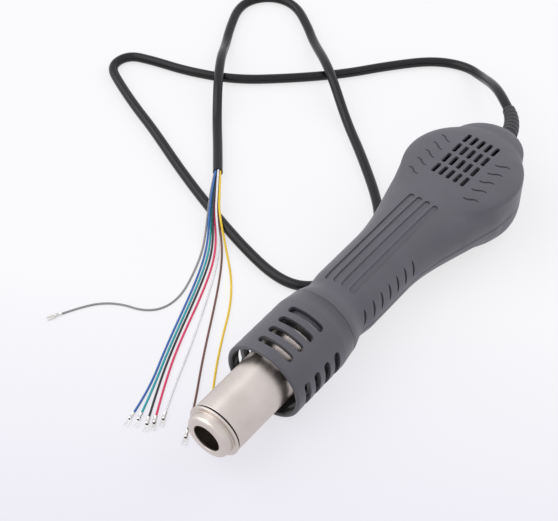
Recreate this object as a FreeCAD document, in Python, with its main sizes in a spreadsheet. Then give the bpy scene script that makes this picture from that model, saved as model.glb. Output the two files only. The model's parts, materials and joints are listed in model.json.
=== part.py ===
import FreeCAD, Part
import math
import os
import re
import Sketcher

# Hot air gun handle with its cable, in millimetres.
# World frame: the handle's axis lies along X, the mouth at -X, the cable end at +X, +Z up, floor at z = 0.
# Unless a comment says otherwise, lengths along the axis are measured from the mouth, and heights from the axis.

Vector = FreeCAD.Vector
Rotation = FreeCAD.Rotation
ALONG_X = Rotation(Vector(0, 1, 0), 90)

SIZES = {
    # whole handle
    "overall_length": 233.0,
    "shell_wall": 2.0,
    "seam_depth": 2.5,
    "seat_gap": 0.05,
    # nozzle neck and tube
    "mouth_radius": 6.9,
    "mouth_plate": 1.1,
    "neck_radius": 11.0,
    "neck_wall": 1.0,
    "neck_length": 6.0,
    "bead_radius": 13.3,
    "bead_width": 1.3,
    "neck_spigot": 5.0,
    "tube_radius": 13.0,
    "tube_wall": 0.8,
    "flange_front": 62.0,
    "flange_thickness": 1.2,
    "flange_radius": 17.2,
    # heater
    "mica_wall": 0.4,
    "quartz_radius": 10.5,
    "quartz_wall": 0.8,
    "heater_front": 14.0,
    "former_width": 15.6,
    "former_thickness": 1.4,
    "coil_wire": 0.7,
    "coil_radius": 9.0,
    "coil_turns": 8,
    "base_thickness": 4.0,
    "air_hole_radius": 2.6,
    "air_hole_circle": 7.2,
    "probe_radius": 0.75,
    "probe_front": 9.0,
    "probe_tail": 4.0,
    # seal, mounting ring, tube screws, earth tab
    "seal_thickness": 0.8,
    "ring_thickness": 2.0,
    "ring_bore": 9.0,
    "tube_screw_circle": 14.7,
    "tube_screw_shank": 0.9,
    "tube_screw_head": 1.5,
    "tube_screw_head_height": 1.6,
    "screw_clearance": 0.15,
    "earth_tab_width": 4.0,
    "earth_tab_thickness": 0.8,
    "earth_tab_length": 6.0,
    "earth_tab_height": 11.2,
    # collar
    "collar_radius": 20.0,
    "collar_wall": 2.35,
    "collar_front": 38.0,
    "collar_end": 80.0,
    "collar_end_radius": 18.8,
    "collar_shoulder_radius": 14.6,
    "collar_shoulder_width": 1.2,
    "collar_taper_start": 72.0,
    "slot_first": 45.0,
    "slot_pitch": 7.0,
    "slot_count": 4,
    "slot_width": 2.7,
    "slot_span": 55.0,
    "slot_groups": 4,
    "slot_turn": 6.0,
    "thread_clearance": 0.35,
    "spigot_wall": 1.9,
    "bore_step": 0.2,
    # grip and flare
    "waist_place": 90.0,
    "waist_radius": 16.3,
    "grip_start": 99.0,
    "grip_radius": 17.2,
    "flare_start": 127.0,
    # drum and nose
    "drum_to_end": 39.0,
    "drum_radius": 30.0,
    "drum_top": 15.5,
    "drum_shoulder": 10.0,
    "drum_foot": 13.0,
    "belly_start": 4.0,
    "nose_radius": 20.0,
    "nose_top": 13.0,
    "nose_shoulder": 8.5,
    "nose_bottom": 18.5,
    "nose_foot": 8.0,
    # grille, flutes and grooves
    "grille_lead": 11.2,
    "grille_row_pitch": 9.1,
    "grille_rows": 4,
    "grille_columns": 5,
    "grille_column_pitch": 4.1,
    "grille_slot_length": 6.0,
    "grille_slot_width": 2.0,
    "flute_start": 93.0,
    "flute_to_drum": 33.0,
    "flute_count": 4,
    "flute_pitch": 4.5,
    "flute_radius": 1.3,
    "groove_depth": 0.7,
    "crescent_first": 92.0,
    "crescent_pitch": 6.15,
    "crescent_count": 7,
    "crescent_width": 1.0,
    "crescent_span": 24.0,
    "crescent_angle": 70.0,
    # shell screws
    "boss_radius": 3.0,
    "shell_screw_shank": 1.1,
    "shell_screw_head": 2.3,
    "shell_screw_head_height": 1.8,
    "shell_screw_seat": 9.0,
    "shell_screw_reach": 6.0,
    "front_boss_place": 104.0,
    "front_boss_side": 9.5,
    "rear_boss_to_end": 14.0,
    "rear_boss_side": 11.6,
    # blower, heights from the axis
    "housing_gap": 4.0,
    "housing_wall": 1.4,
    "housing_bottom": -12.0,
    "housing_top": 7.0,
    "outlet_half_width": 10.0,
    "outlet_reach": 34.0,
    "cover_thickness": 1.4,
    "inlet_radius": 12.5,
    "lug_offset": 1.3,
    "lug_radius": 2.2,
    "lug_height": 6.0,
    "cover_screw_shank": 0.8,
    "cover_screw_head": 1.6,
    "cover_screw_head_height": 1.2,
    "cover_screw_length": 4.5,
    "post_radius": 2.2,
    "post_side": 10.6,
    # rotor and motor
    "impeller_clearance": 2.1,
    "impeller_floor": 1.0,
    "floor_gap": 1.0,
    "blade_count": 11,
    "blade_thickness": 1.0,
    "blade_height": 14.0,
    "hub_radius": 13.0,
    "hub_wall": 1.0,
    "hub_cap": 1.4,
    "hub_height": 13.6,
    "magnet_wall": 1.4,
    "magnet_height": 9.0,
    "air_gap": 0.5,
    "shaft_radius": 1.5,
    "shaft_clearance": 0.3,
    "bearing_radius": 4.0,
    "bearing_height": 3.0,
    "sleeve_wall": 1.15,
    "sleeve_height": 12.0,
    "stator_height": 6.0,
    "stator_lift": 3.6,
    "pole_count": 4,
    "pole_span": 62.0,
    "pole_shoe": 1.2,
    "tooth_width": 3.0,
    "coil_width": 5.4,
    "coil_height": 8.2,
    "board_thickness": 1.2,
    # reed switch
    "reed_board_place": 120.0,
    "reed_board_length": 20.0,
    "reed_board_width": 10.0,
    "reed_board_thickness": 1.2,
    "reed_board_height": 11.0,
    "reed_radius": 1.1,
    "reed_length": 13.0,
    "reed_post_radius": 1.5,
    "reed_post_side": 7.0,
    # cable entry
    "cable_radius": 2.6,
    "boot_bore": 4.0,
    "boot_neck": 3.8,
    "boot_flange_radius": 5.6,
    "boot_flange_to_end": 4.7,
    "boot_flange_thickness": 1.5,
    "boot_base_radius": 4.9,
    "boot_tip_radius": 3.3,
    "boot_bend_radius": 30.0,
    "boot_turn": 50.0,
    "boot_ribs": 9,
    "rib_depth": 0.7,
    "clamp_to_end": 8.5,
    "clamp_width": 3.0,
    "clamp_half_length": 9.0,
    "clamp_height": 3.2,
    "clamp_screw_side": 6.6,
    "clamp_screw_shank": 0.9,
    "clamp_screw_head": 1.7,
    "clamp_screw_head_height": 1.3,
    "clamp_screw_reach": 6.0,
    "cable_stub_to_end": 9.5,
    # inner leads and loose wires
    "heater_lead_radius": 0.8,
    "thin_lead_radius": 0.5,
    "wire_radius": 0.55,
    "crimp_radius": 1.0,
    "crimp_length": 3.6,
    "blade_length": 4.2,
    "blade_width": 2.4,
    "blade_sheet": 0.5,
    "crimp_overlap": 1.3,
}

doc = FreeCAD.newDocument("HotAirHandle")
sheet = doc.addObject("Spreadsheet::Sheet", "Sizes")
for row, (alias, value) in enumerate(SIZES.items(), start=1):
    sheet.set("A%d" % row, alias)
    sheet.set("B%d" % row, str(value))
    sheet.setAlias("B%d" % row, alias)
doc.recompute()


def size(alias):
    """One size, read from the sheet."""
    return float(sheet.get(alias))


def from_end(alias):
    """Place behind the mouth of something measured forwards from the nose's end."""
    return size("overall_length") - size(alias)


def count(alias):
    """One whole number, read from the sheet."""
    return int(round(size(alias)))


def bind(text):
    """Expression text in which every size name points at the sheet."""
    return re.sub(r"[a-z_]+", lambda word: ("Sizes." if word.group() in SIZES else "") + word.group(), text)


# ---------------------------------------------------------------- helpers

NODES = {}
PLACES = {}


def node(label, thing, at=("-overall_length / 2", "0", "collar_radius")):
    """Name a finished sub-part and put it in the world frame."""
    thing.Label = label
    own = PLACES.get(thing.Name, ("0", "0", "0"))
    for axis, text, local in zip("xyz", at, own):
        thing.setExpression(".Placement.Base." + axis, bind("%s + (%s)" % (text, local)))
    NODES[label] = thing
    return thing


AT_DRUM = ("overall_length / 2 - drum_to_end", "0", "collar_radius")
HOUSING_RADIUS = "(drum_radius - shell_wall - housing_gap)"
LUG_CIRCLE = "(drum_radius - shell_wall - housing_gap + lug_offset)"
IMPELLER_RADIUS = "(drum_radius - shell_wall - housing_gap - housing_wall - impeller_clearance)"


def turned(name, profile, upright=False):
    """A body revolved from a closed outline: (along, radius) about X, or (radius, height) about Z when upright."""
    body = doc.addObject("PartDesign::Body", name)
    plane = [item for item in body.Origin.OriginFeatures if item.Role == "XZ_Plane"][0]
    sketch = body.newObject("Sketcher::SketchObject", name + "_outline")
    sketch.AttachmentSupport = [(plane, "")]
    sketch.MapMode = "FlatFace"
    total = len(profile)
    corners = [Vector(10 + 5 * math.cos(2 * math.pi * k / total), 10 + 5 * math.sin(2 * math.pi * k / total), 0)
               for k in range(total)]
    for k in range(total):
        sketch.addGeometry(Part.LineSegment(corners[k], corners[(k + 1) % total]), False)
    for k in range(total):
        sketch.addConstraint(Sketcher.Constraint("Coincident", k, 2, (k + 1) % total, 1))
    for k, (first, second) in enumerate(profile):
        for kind, text, start in (("DistanceX", first, corners[k].x), ("DistanceY", second, corners[k].y)):
            index = sketch.addConstraint(Sketcher.Constraint(kind, -1, 1, k, 1, start))
            sketch.setExpression("Constraints[%d]" % index, bind(text))
    turn = body.newObject("PartDesign::Revolution", name + "_turn")
    turn.Profile = sketch
    turn.ReferenceAxis = (sketch, ["V_Axis" if upright else "H_Axis"])
    turn.Angle = 360
    return body


def primitive(kind, name, sizes, at=("0", "0", "0"), turn=None):
    """A Part primitive whose sizes and place are bound to the sheet."""
    thing = doc.addObject("Part::" + kind, name)
    if turn is not None:
        thing.Placement.Rotation = turn
    for key, text in sizes.items():
        thing.setExpression(key, bind(text))
    for axis, text in zip("xyz", at):
        thing.setExpression(".Placement.Base." + axis, bind(text))
    PLACES[thing.Name] = at
    return thing


def rod(name, radius, length, at, turn=None):
    """A cylinder, upright unless turned."""
    return primitive("Cylinder", name, {"Radius": radius, "Height": length}, at, turn)


def block(name, length, width, height, at):
    """A box from its lowest corner."""
    return primitive("Box", name, {"Length": length, "Width": width, "Height": height}, at)


def sector(name, radius, length, span, place, centre_angle):
    """A slice of a cylinder along X, centred on an angle from the top toward -Y."""
    thing = primitive("Cylinder", name, {"Radius": radius, "Height": length, "Angle": span}, (place, "0", "0"))
    start = 180.0 + centre_angle - size(span) / 2
    thing.Placement.Rotation = Rotation(Vector(1, 0, 0), start).multiply(ALONG_X)
    return thing


def joined(name, parts):
    """Several shapes fused into one."""
    thing = doc.addObject("Part::MultiFuse", name)
    thing.Shapes = parts
    return thing


def cut(name, base, tools):
    """A base with its tools cut away."""
    thing = doc.addObject("Part::Cut", name)
    thing.Base = base
    thing.Tool = tools[0] if len(tools) == 1 else joined(name + "_tools", tools)
    return thing


def group(name, parts):
    """Separate solids that share one node."""
    thing = doc.addObject("Part::Compound", name)
    thing.Links = parts
    return thing


def feature(name, shape):
    """A free-form shape made with Part's own functions."""
    thing = doc.addObject("Part::Feature", name)
    thing.Shape = shape
    return thing


# ---------------------------------------------------------------- nozzle and heater


def make_nozzle():
    """Mouth ring, tube with its flange, and the seal behind the flange."""
    inner = "tube_radius - tube_wall - seat_gap"
    tube_front = "neck_length + bead_width"
    node("nozzle_neck", turned("neck", [
        ("0.6", "mouth_radius"),
        ("0", "mouth_radius + 0.7"),
        ("0", "neck_radius - 1.7"),
        ("0.35", "neck_radius - 0.7"),
        ("1.2", "neck_radius"),
        ("neck_length", "neck_radius"),
        ("neck_length", "bead_radius - 0.35"),
        ("neck_length + 0.35", "bead_radius"),
        ("neck_length + bead_width - 0.35", "bead_radius"),
        (tube_front, "bead_radius - 0.35"),
        (tube_front, inner),
        (tube_front + " + neck_spigot", inner),
        (tube_front + " + neck_spigot", inner + " - neck_wall"),
        ("neck_length + 1.2", inner + " - neck_wall"),
        ("neck_length", "neck_radius - neck_wall"),
        ("mouth_plate + 0.6", "neck_radius - neck_wall"),
        ("mouth_plate + 0.6", "mouth_radius"),
    ]))
    back = "flange_front + flange_thickness"
    tube = turned("tube", [
        (tube_front, "tube_radius - tube_wall"),
        (back, "tube_radius - tube_wall"),
        (back, "flange_radius"),
        ("flange_front", "flange_radius"),
        ("flange_front", "tube_radius"),
        (tube_front, "tube_radius"),
    ])
    node("nozzle_tube", cut("tube_drilled", tube, screw_holes("tube", "flange_front - 1", "flange_thickness + 2")))
    seal = turned("seal", [
        (back, "tube_radius - tube_wall"),
        (back, "flange_radius"),
        (back + " + seal_thickness", "flange_radius"),
        (back + " + seal_thickness", "tube_radius - tube_wall"),
    ])
    node("seal_ring", cut("seal_drilled", seal, screw_holes("seal", back + " - 1", "seal_thickness + 2")))


RING_FRONT = "flange_front + flange_thickness + seal_thickness"
RING_BACK = RING_FRONT + " + ring_thickness"
TUBE_SCREW_ANGLES = (90.0, 210.0, 330.0)


def screw_place(angle):
    """Where a tube screw stands in the YZ plane."""
    side = "tube_screw_circle * %.6f" % math.cos(math.radians(angle))
    height = "tube_screw_circle * %.6f" % math.sin(math.radians(angle))
    return side, height


def screw_holes(name, place, length):
    """Three clearance holes for the tube screws."""
    holes = []
    for number, angle in enumerate(TUBE_SCREW_ANGLES, start=1):
        side, height = screw_place(angle)
        holes.append(rod("%s_hole_%d" % (name, number), "tube_screw_shank + screw_clearance", length,
                         (place, side, height), ALONG_X))
    return holes


def make_mounting():
    """Mounting ring, its three screws and the earth tab."""
    ring = turned("ring", [
        (RING_FRONT, "ring_bore"),
        (RING_FRONT, "flange_radius"),
        (RING_BACK, "flange_radius"),
        (RING_BACK, "ring_bore"),
    ])
    node("mounting_ring", cut("ring_drilled", ring, screw_holes("ring", RING_FRONT + " - 1", "ring_thickness + 2")))
    screws = []
    for number, angle in enumerate(TUBE_SCREW_ANGLES, start=1):
        side, height = screw_place(angle)
        shank = rod("tube_shank_%d" % number, "tube_screw_shank",
                    "ring_thickness + seal_thickness + flange_thickness - 0.2",
                    ("flange_front + 0.2", side, height), ALONG_X)
        head = rod("tube_head_%d" % number, "tube_screw_head", "tube_screw_head_height",
                   (RING_BACK, side, height), ALONG_X)
        screws.append(joined("tube_screw_%d" % number, [shank, head]))
    node("tube_screws", group("tube_screw_group", screws))
    node("earth_terminal", block("earth_tab", "earth_tab_length", "earth_tab_width", "earth_tab_thickness",
                                 (RING_BACK, "-earth_tab_width / 2", "-earth_tab_height")))


COIL_CORNERS = 8


def make_heater():
    """Sleeves, ceramic base, cruciform former, coil and temperature probe."""
    base_front = "flange_front - base_thickness"
    inner = "tube_radius - tube_wall - seat_gap"
    sleeve_front = "neck_length + bead_width + neck_spigot + 0.1"
    node("mica_sleeve", turned("mica", [
        (sleeve_front, inner + " - mica_wall"),
        (base_front, inner + " - mica_wall"),
        (base_front, inner),
        (sleeve_front, inner),
    ]))
    node("quartz_sleeve", turned("quartz", [
        (sleeve_front, "quartz_radius - quartz_wall"),
        (base_front, "quartz_radius - quartz_wall"),
        (base_front, "quartz_radius"),
        (sleeve_front, "quartz_radius"),
    ]))
    disc = turned("base_disc", [
        (base_front, "0"),
        ("flange_front", "0"),
        ("flange_front", inner),
        (base_front, inner),
    ])
    holes = []
    for number in range(4):
        angle = math.radians(45 + 90 * number)
        holes.append(rod("air_hole_%d" % (number + 1), "air_hole_radius", "base_thickness + 2",
                         (base_front + " - 1", "air_hole_circle * %.6f" % math.cos(angle),
                          "air_hole_circle * %.6f" % math.sin(angle)), ALONG_X))
    node("heater_base", cut("base_drilled", disc, holes))
    length = "flange_front - base_thickness - heater_front"
    upright = block("former_upright", length, "former_thickness", "former_width",
                    ("heater_front", "-former_thickness / 2", "-former_width / 2"))
    level = block("former_level", length, "former_width", "former_thickness",
                  ("heater_front", "-former_width / 2", "-former_thickness / 2"))
    node("heater_former", joined("former", [upright, level]))
    start = size("heater_front") + 2
    turns = count("coil_turns")
    step = (size("flange_front") - size("base_thickness") - 3 - start) / (turns * COIL_CORNERS)
    route = []
    for number in range(turns * COIL_CORNERS + 1):
        angle = 2 * math.pi * number / COIL_CORNERS
        route.append(Vector(start + step * number, size("coil_radius") * math.cos(angle),
                            size("coil_radius") * math.sin(angle)))
    node("heater_coil", feature("coil", tube("heater coil", route, size("coil_wire") / 2, False)))
    side = "air_hole_circle * %.6f" % math.sqrt(0.5)
    node("temperature_probe", rod("probe", "probe_radius", "flange_front - probe_front + probe_tail",
                                  ("probe_front", side, side), ALONG_X))


def make_collar():
    """Slotted collar that screws over the spigot and clamps the flange."""
    bore = "collar_radius - collar_wall"
    blank = turned("collar_blank", [
        ("collar_front", bore),
        ("collar_front", "collar_radius - 1.3"),
        ("collar_front + 0.4", "collar_radius - 0.5"),
        ("collar_front + 1.2", "collar_radius"),
        ("collar_taper_start", "collar_radius"),
        ("collar_taper_start + 4", "collar_radius - 0.3"),
        ("collar_end - 1.4", "collar_end_radius + 0.35"),
        ("collar_end", "collar_end_radius"),
        ("collar_end", bore),
        ("flange_front", bore),
        ("flange_front", "collar_shoulder_radius"),
        ("flange_front - collar_shoulder_width", "collar_shoulder_radius"),
        ("flange_front - collar_shoulder_width", bore),
    ])
    slots = []
    for turn in range(count("slot_groups")):
        angle = size("slot_turn") + turn * 360.0 / count("slot_groups")
        for number in range(count("slot_count")):
            place = "slot_first + slot_pitch * %d - slot_width / 2" % number
            slots.append(sector("slot_%d_%d" % (turn + 1, number + 1), "collar_radius + 2", "slot_width",
                                "slot_span", place, angle))
    node("front_collar", cut("collar_slotted", blank, slots))


# ---------------------------------------------------------------- shells


def quarter(radius_from, radius_to, height_from, height_to, power):
    """A smooth quarter curve from the wall (radius_from, height_from) to the middle (radius_to, height_to)."""
    points = []
    for step in range(10):
        angle = math.pi / 2 * step / 9
        out = radius_to + (radius_from - radius_to) * max(0.0, math.cos(angle)) ** (2 / power)
        rise = height_from + (height_to - height_from) * math.sin(angle) ** (2 / power)
        points.append(Vector(out, 0, rise))
    curve = Part.BSplineCurve()
    curve.interpolate(points)
    return curve.toShape()


DOME_POWER = 2.6
BELLY_POWER = 2.8


def pan(place, radius, top, shoulder, bottom, foot):
    """A round flat body about an upright axis, domed above and bellied below."""
    crown = quarter(radius, 0.0, shoulder, top, DOME_POWER)
    belly = quarter(radius, foot, -size("belly_start"), -bottom, BELLY_POWER)
    wall = Part.makeLine(Vector(radius, 0, -size("belly_start")), Vector(radius, 0, shoulder))
    floor = Part.makeLine(Vector(foot, 0, -bottom), Vector(0, 0, -bottom))
    middle = Part.makeLine(Vector(0, 0, -bottom), Vector(0, 0, top))
    outline = Part.Wire(Part.sortEdges([crown, wall, belly, floor, middle])[0])
    solid = Part.Face(outline).revolve(Vector(0, 0, 0), Vector(0, 0, 1), 360)
    solid.translate(Vector(place, 0, 0))
    return solid


def blend(along, start, end):
    """Smooth share from 0 at start to 1 at end."""
    share = min(1.0, max(0.0, (along - start) / (end - start)))
    return share * share * (3 - 2 * share)


def grip_section(along, inset):
    """Half width, top, bottom and the powers above and below of the grip's outline at one place."""
    waist, start = size("waist_place"), size("grip_start")
    collar_end, flare, drum = size("collar_end"), size("flare_start"), from_end("drum_to_end")
    if along < waist:
        radius = size("waist_radius") + (size("collar_end_radius") - size("waist_radius")) * (
            1 - blend(along, collar_end, waist))
    else:
        grown = blend(along, waist, start)
        radius = size("waist_radius") + (size("grip_radius") - size("waist_radius")) * grown
    share = blend(along, flare, drum)
    wide = radius + (size("drum_radius") - 0.1 - radius) * share
    top = radius + (size("drum_top") - 0.4 - radius) * share
    bottom = radius + (size("collar_radius") - 0.6 - radius) * share
    above, below = 2.0 + 0.4 * share, 2.0 + (BELLY_POWER - 2.0) * share
    room = spigot_radius() - size("spigot_wall")
    if inset > 0 and along < waist:
        inner = min(radius - inset, room - size("bore_step"))
        return inner, inner, inner, above, below
    return wide - inset, top - inset, bottom - inset, above, below


def spigot_radius():
    """Outer radius of the threaded spigot under the collar."""
    return size("collar_radius") - size("collar_wall") - size("thread_clearance")


SECTION_POINTS = 32


def section_wire(along, inset):
    """Closed curve of the grip at one place."""
    wide, top, bottom, above, below = grip_section(along, inset)
    points = []
    for step in range(SECTION_POINTS):
        angle = 2 * math.pi * step / SECTION_POINTS
        across, rise = math.cos(angle), math.sin(angle)
        height, power = (top, above) if rise > 0 else (bottom, below)
        points.append(Vector(along,
                             wide * math.copysign(abs(across) ** (2 / power), across),
                             height * math.copysign(abs(rise) ** (2 / power), rise)))
    curve = Part.BSplineCurve()
    knots = [step / SECTION_POINTS for step in range(SECTION_POINTS + 1)]
    curve.interpolate(Points=points, PeriodicFlag=True, Parameters=knots)
    return Part.Wire([curve.toShape()])


def grip_solid(inset):
    """The grip from the collar to the drum, grown inwards by the inset."""
    first, waist, start = size("collar_end"), size("waist_place"), size("grip_start")
    flare, last = size("flare_start"), from_end("drum_to_end") - 1
    places = [first, first + (waist - first) * 0.35, first + (waist - first) * 0.7, waist,
              waist + (start - waist) * 0.5, start, (start + flare) / 2, flare]
    steps = 8
    places += [flare + (last - flare) * step / steps for step in range(1, steps + 1)]
    return Part.makeLoft([section_wire(place, inset) for place in places], True, False)


def body_solid(inset):
    """Grip, drum and nose together, grown inwards by the inset."""
    drum = pan(from_end("drum_to_end"), size("drum_radius") - inset, size("drum_top") - inset,
               size("drum_shoulder"), size("collar_radius") - inset, size("drum_foot"))
    nose_place = size("overall_length") - size("nose_radius")
    nose = pan(nose_place, size("nose_radius") - inset, size("nose_top") - inset, size("nose_shoulder"),
               size("nose_bottom") - inset, size("nose_foot"))
    return grip_solid(inset).fuse([drum, nose])


def cylinder_x(radius, start, end, side=0.0, height=0.0):
    """A cylinder along X."""
    return Part.makeCylinder(radius, end - start, Vector(start, side, height), Vector(1, 0, 0))


def boss_places():
    """Where the four shell screws stand."""
    front, rear = size("front_boss_place"), from_end("rear_boss_to_end")
    places = [(front, side * size("front_boss_side")) for side in (-1, 1)]
    return places + [(rear, side * size("rear_boss_side")) for side in (-1, 1)]


def capsule(centre, length, width, depth):
    """An upright slot cutter, long along X with round ends."""
    straight = length - width
    low = centre - Vector(0, 0, depth / 2)
    middle = Part.makeBox(straight, width, depth, low - Vector(straight / 2, width / 2, 0))
    ends = [Part.makeCylinder(width / 2, depth, low + Vector(side * straight / 2, 0, 0)) for side in (-1, 1)]
    return middle.fuse(ends)


def grille_cutters():
    """Slots through the drum's top."""
    cutters = []
    for row in range(count("grille_rows")):
        for column in range(count("grille_columns")):
            across = (column - (count("grille_columns") - 1) / 2) * size("grille_column_pitch")
            along = from_end("drum_to_end") - size("grille_lead") + row * size("grille_row_pitch")
            centre = Vector(along, across, size("drum_top"))
            cutters.append(capsule(centre, size("grille_slot_length"), size("grille_slot_width"),
                                   4 * size("shell_wall")))
    return cutters


def surface_top(along, across, inset=0.0):
    """Height of the grip's upper surface at one place."""
    wide, top, _, power, _ = grip_section(along, inset)
    return top * max(0.0, 1 - abs(across / wide) ** power) ** (1 / power)


def flute_cutters():
    """Long shallow flutes on top of the grip, with round ends."""
    cutters = []
    radius, depth = size("flute_radius"), size("groove_depth")
    places = (size("flute_start"), size("flare_start"), from_end("drum_to_end") - size("flute_to_drum"))
    for number in range(count("flute_count")):
        across = (number - (count("flute_count") - 1) / 2) * size("flute_pitch")
        path = [Vector(place, across, surface_top(place, across) + radius - depth) for place in places]
        solid = tube("flute", path, radius, False)
        cutters.append(solid.fuse([Part.makeSphere(radius, path[0]), Part.makeSphere(radius, path[-1])]))
    return cutters


def crescent_cutters():
    """Short grooves across both sides of the grip."""
    cutters = []
    for number in range(count("crescent_count")):
        place = size("crescent_first") + number * size("crescent_pitch") - size("crescent_width") / 2
        deep = grip_section(place, 0.0)[0] - size("groove_depth")
        ring = cylinder_x(size("grip_radius") + 2, place, place + size("crescent_width"))
        ring = ring.cut(cylinder_x(deep, place - 1, place + size("crescent_width") + 1))
        for side in (-1, 1):
            wedge = Part.makeCylinder(size("grip_radius") + 3, size("crescent_width") + 2,
                                      Vector(place - 1, 0, 0), Vector(1, 0, 0), size("crescent_span"))
            first_edge = math.degrees(wedge_start(wedge, place))
            target = 90 - side * size("crescent_angle")
            wedge.rotate(Vector(0, 0, 0), Vector(1, 0, 0), target - first_edge - size("crescent_span") / 2)
            cutters.append(ring.common(wedge))
    return cutters


def wedge_start(wedge, place):
    """Angle in the YZ plane at which a cylinder slice along X begins."""
    middle = wedge.CenterOfMass
    return math.atan2(middle.z, middle.y) - math.radians(size("crescent_span")) / 2


def make_shells():
    """Upper and lower shell, split at the seam, with bosses, posts and openings."""
    seam = -size("seam_depth")
    wall = size("shell_wall")
    outer = body_solid(0.0)
    inner = body_solid(wall)
    front = size("flange_front") + size("flange_thickness") + size("seal_thickness") + size("ring_thickness")
    join = size("collar_end") + 2.0
    outside = spigot_radius()
    spigot = cylinder_x(outside, front, join)
    bore = cylinder_x(outside - size("spigot_wall"), front - 1, size("collar_end") + 1)
    head_room = cylinder_x(outside - 0.9, front - 1, front + size("tube_screw_head_height") + 0.6)
    whole = outer.fuse(spigot)
    hollow = whole.cut([inner, bore, head_room])
    reach = size("overall_length") + 40
    above = Part.makeBox(reach, 100, 60, Vector(0, -50, seam))
    below = Part.makeBox(reach, 100, 60, Vector(0, -50, seam - 60))
    boot_hole = cylinder_x(size("boot_bore"), from_end("boot_flange_to_end"), size("overall_length") + 2)
    upper = hollow.common(above)
    lower = hollow.common(below)
    screw = size("shell_screw_shank")
    seat = -size("shell_screw_seat")
    upper_bosses, lower_bosses, pilots, passages = [], [], [], []
    for along, across in boss_places():
        upper_bosses.append(Part.makeCylinder(size("boss_radius"), 40, Vector(along, across, seam)))
        lower_bosses.append(Part.makeCylinder(size("boss_radius"), 40, Vector(along, across, seam - 40)))
        pilots.append(Part.makeCylinder(screw + 0.05, size("shell_screw_reach") + 0.5,
                                        Vector(along, across, seam)))
        passages.append(Part.makeCylinder(screw + 0.2, 20, Vector(along, across, seam - 20)))
        passages.append(Part.makeCylinder(size("shell_screw_head") + 0.2, 20, Vector(along, across, seat - 20)))
    upper = upper.fuse([boss.common(whole) for boss in upper_bosses])
    upper = upper.cut(pilots + grille_cutters() + flute_cutters() + crescent_cutters() + [boot_hole])
    lower = lower.fuse([boss.common(whole) for boss in lower_bosses] + lower_posts(whole))
    lower = lower.cut(passages + [boot_hole] + clamp_pilots())
    node("upper_shell", feature("shell_upper", upper.removeSplitter()))
    node("lower_shell", feature("shell_lower", lower.removeSplitter()))
    screws = []
    for number, (along, across) in enumerate(boss_places(), start=1):
        length = seam - seat + size("shell_screw_reach")
        shank = rod("shell_shank_%d" % number, "shell_screw_shank", "%.3f" % length,
                    ("%.3f" % along, "%.3f" % across, "-shell_screw_seat"))
        head = rod("shell_head_%d" % number, "shell_screw_head", "shell_screw_head_height",
                   ("%.3f" % along, "%.3f" % across, "-shell_screw_seat - shell_screw_head_height"))
        screws.append(joined("shell_screw_%d" % number, [shank, head]))
    node("shell_screws", group("shell_screw_group", screws))


def lower_posts(whole):
    """Posts in the lower shell under the blower, the reed board and the cable."""
    posts = []
    for along in (-1, 1):
        for across in (-1, 1):
            foot = Vector(from_end("drum_to_end") + along * size("post_side"), across * size("post_side"), -30)
            posts.append(Part.makeCylinder(size("post_radius"), 30 + size("housing_bottom"), foot))
    for side in (-1, 1):
        foot = Vector(size("reed_board_place") + side * size("reed_post_side"), 0, -30)
        posts.append(Part.makeCylinder(size("reed_post_radius"), 30 - size("reed_board_height"), foot))
    half = size("clamp_half_length")
    saddle = Part.makeBox(size("clamp_width"), 2 * half, 30 - size("seam_depth") - 0.1,
                          Vector(from_end("clamp_to_end"), -half, -30))
    posts.append(saddle.cut(cylinder_x(size("cable_radius"), from_end("clamp_to_end") - 1,
                                       from_end("clamp_to_end") + size("clamp_width") + 1)))
    return [post.common(whole) for post in posts]


def clamp_pilots():
    """Pilot holes for the clamp screws."""
    middle = from_end("clamp_to_end") + size("clamp_width") / 2
    reach = size("clamp_screw_reach") + 0.5
    return [Part.makeCylinder(size("clamp_screw_shank") + 0.05, reach,
                              Vector(middle, side * size("clamp_screw_side"), -size("seam_depth") - reach))
            for side in (-1, 1)]


# ---------------------------------------------------------------- blower and motor


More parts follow.
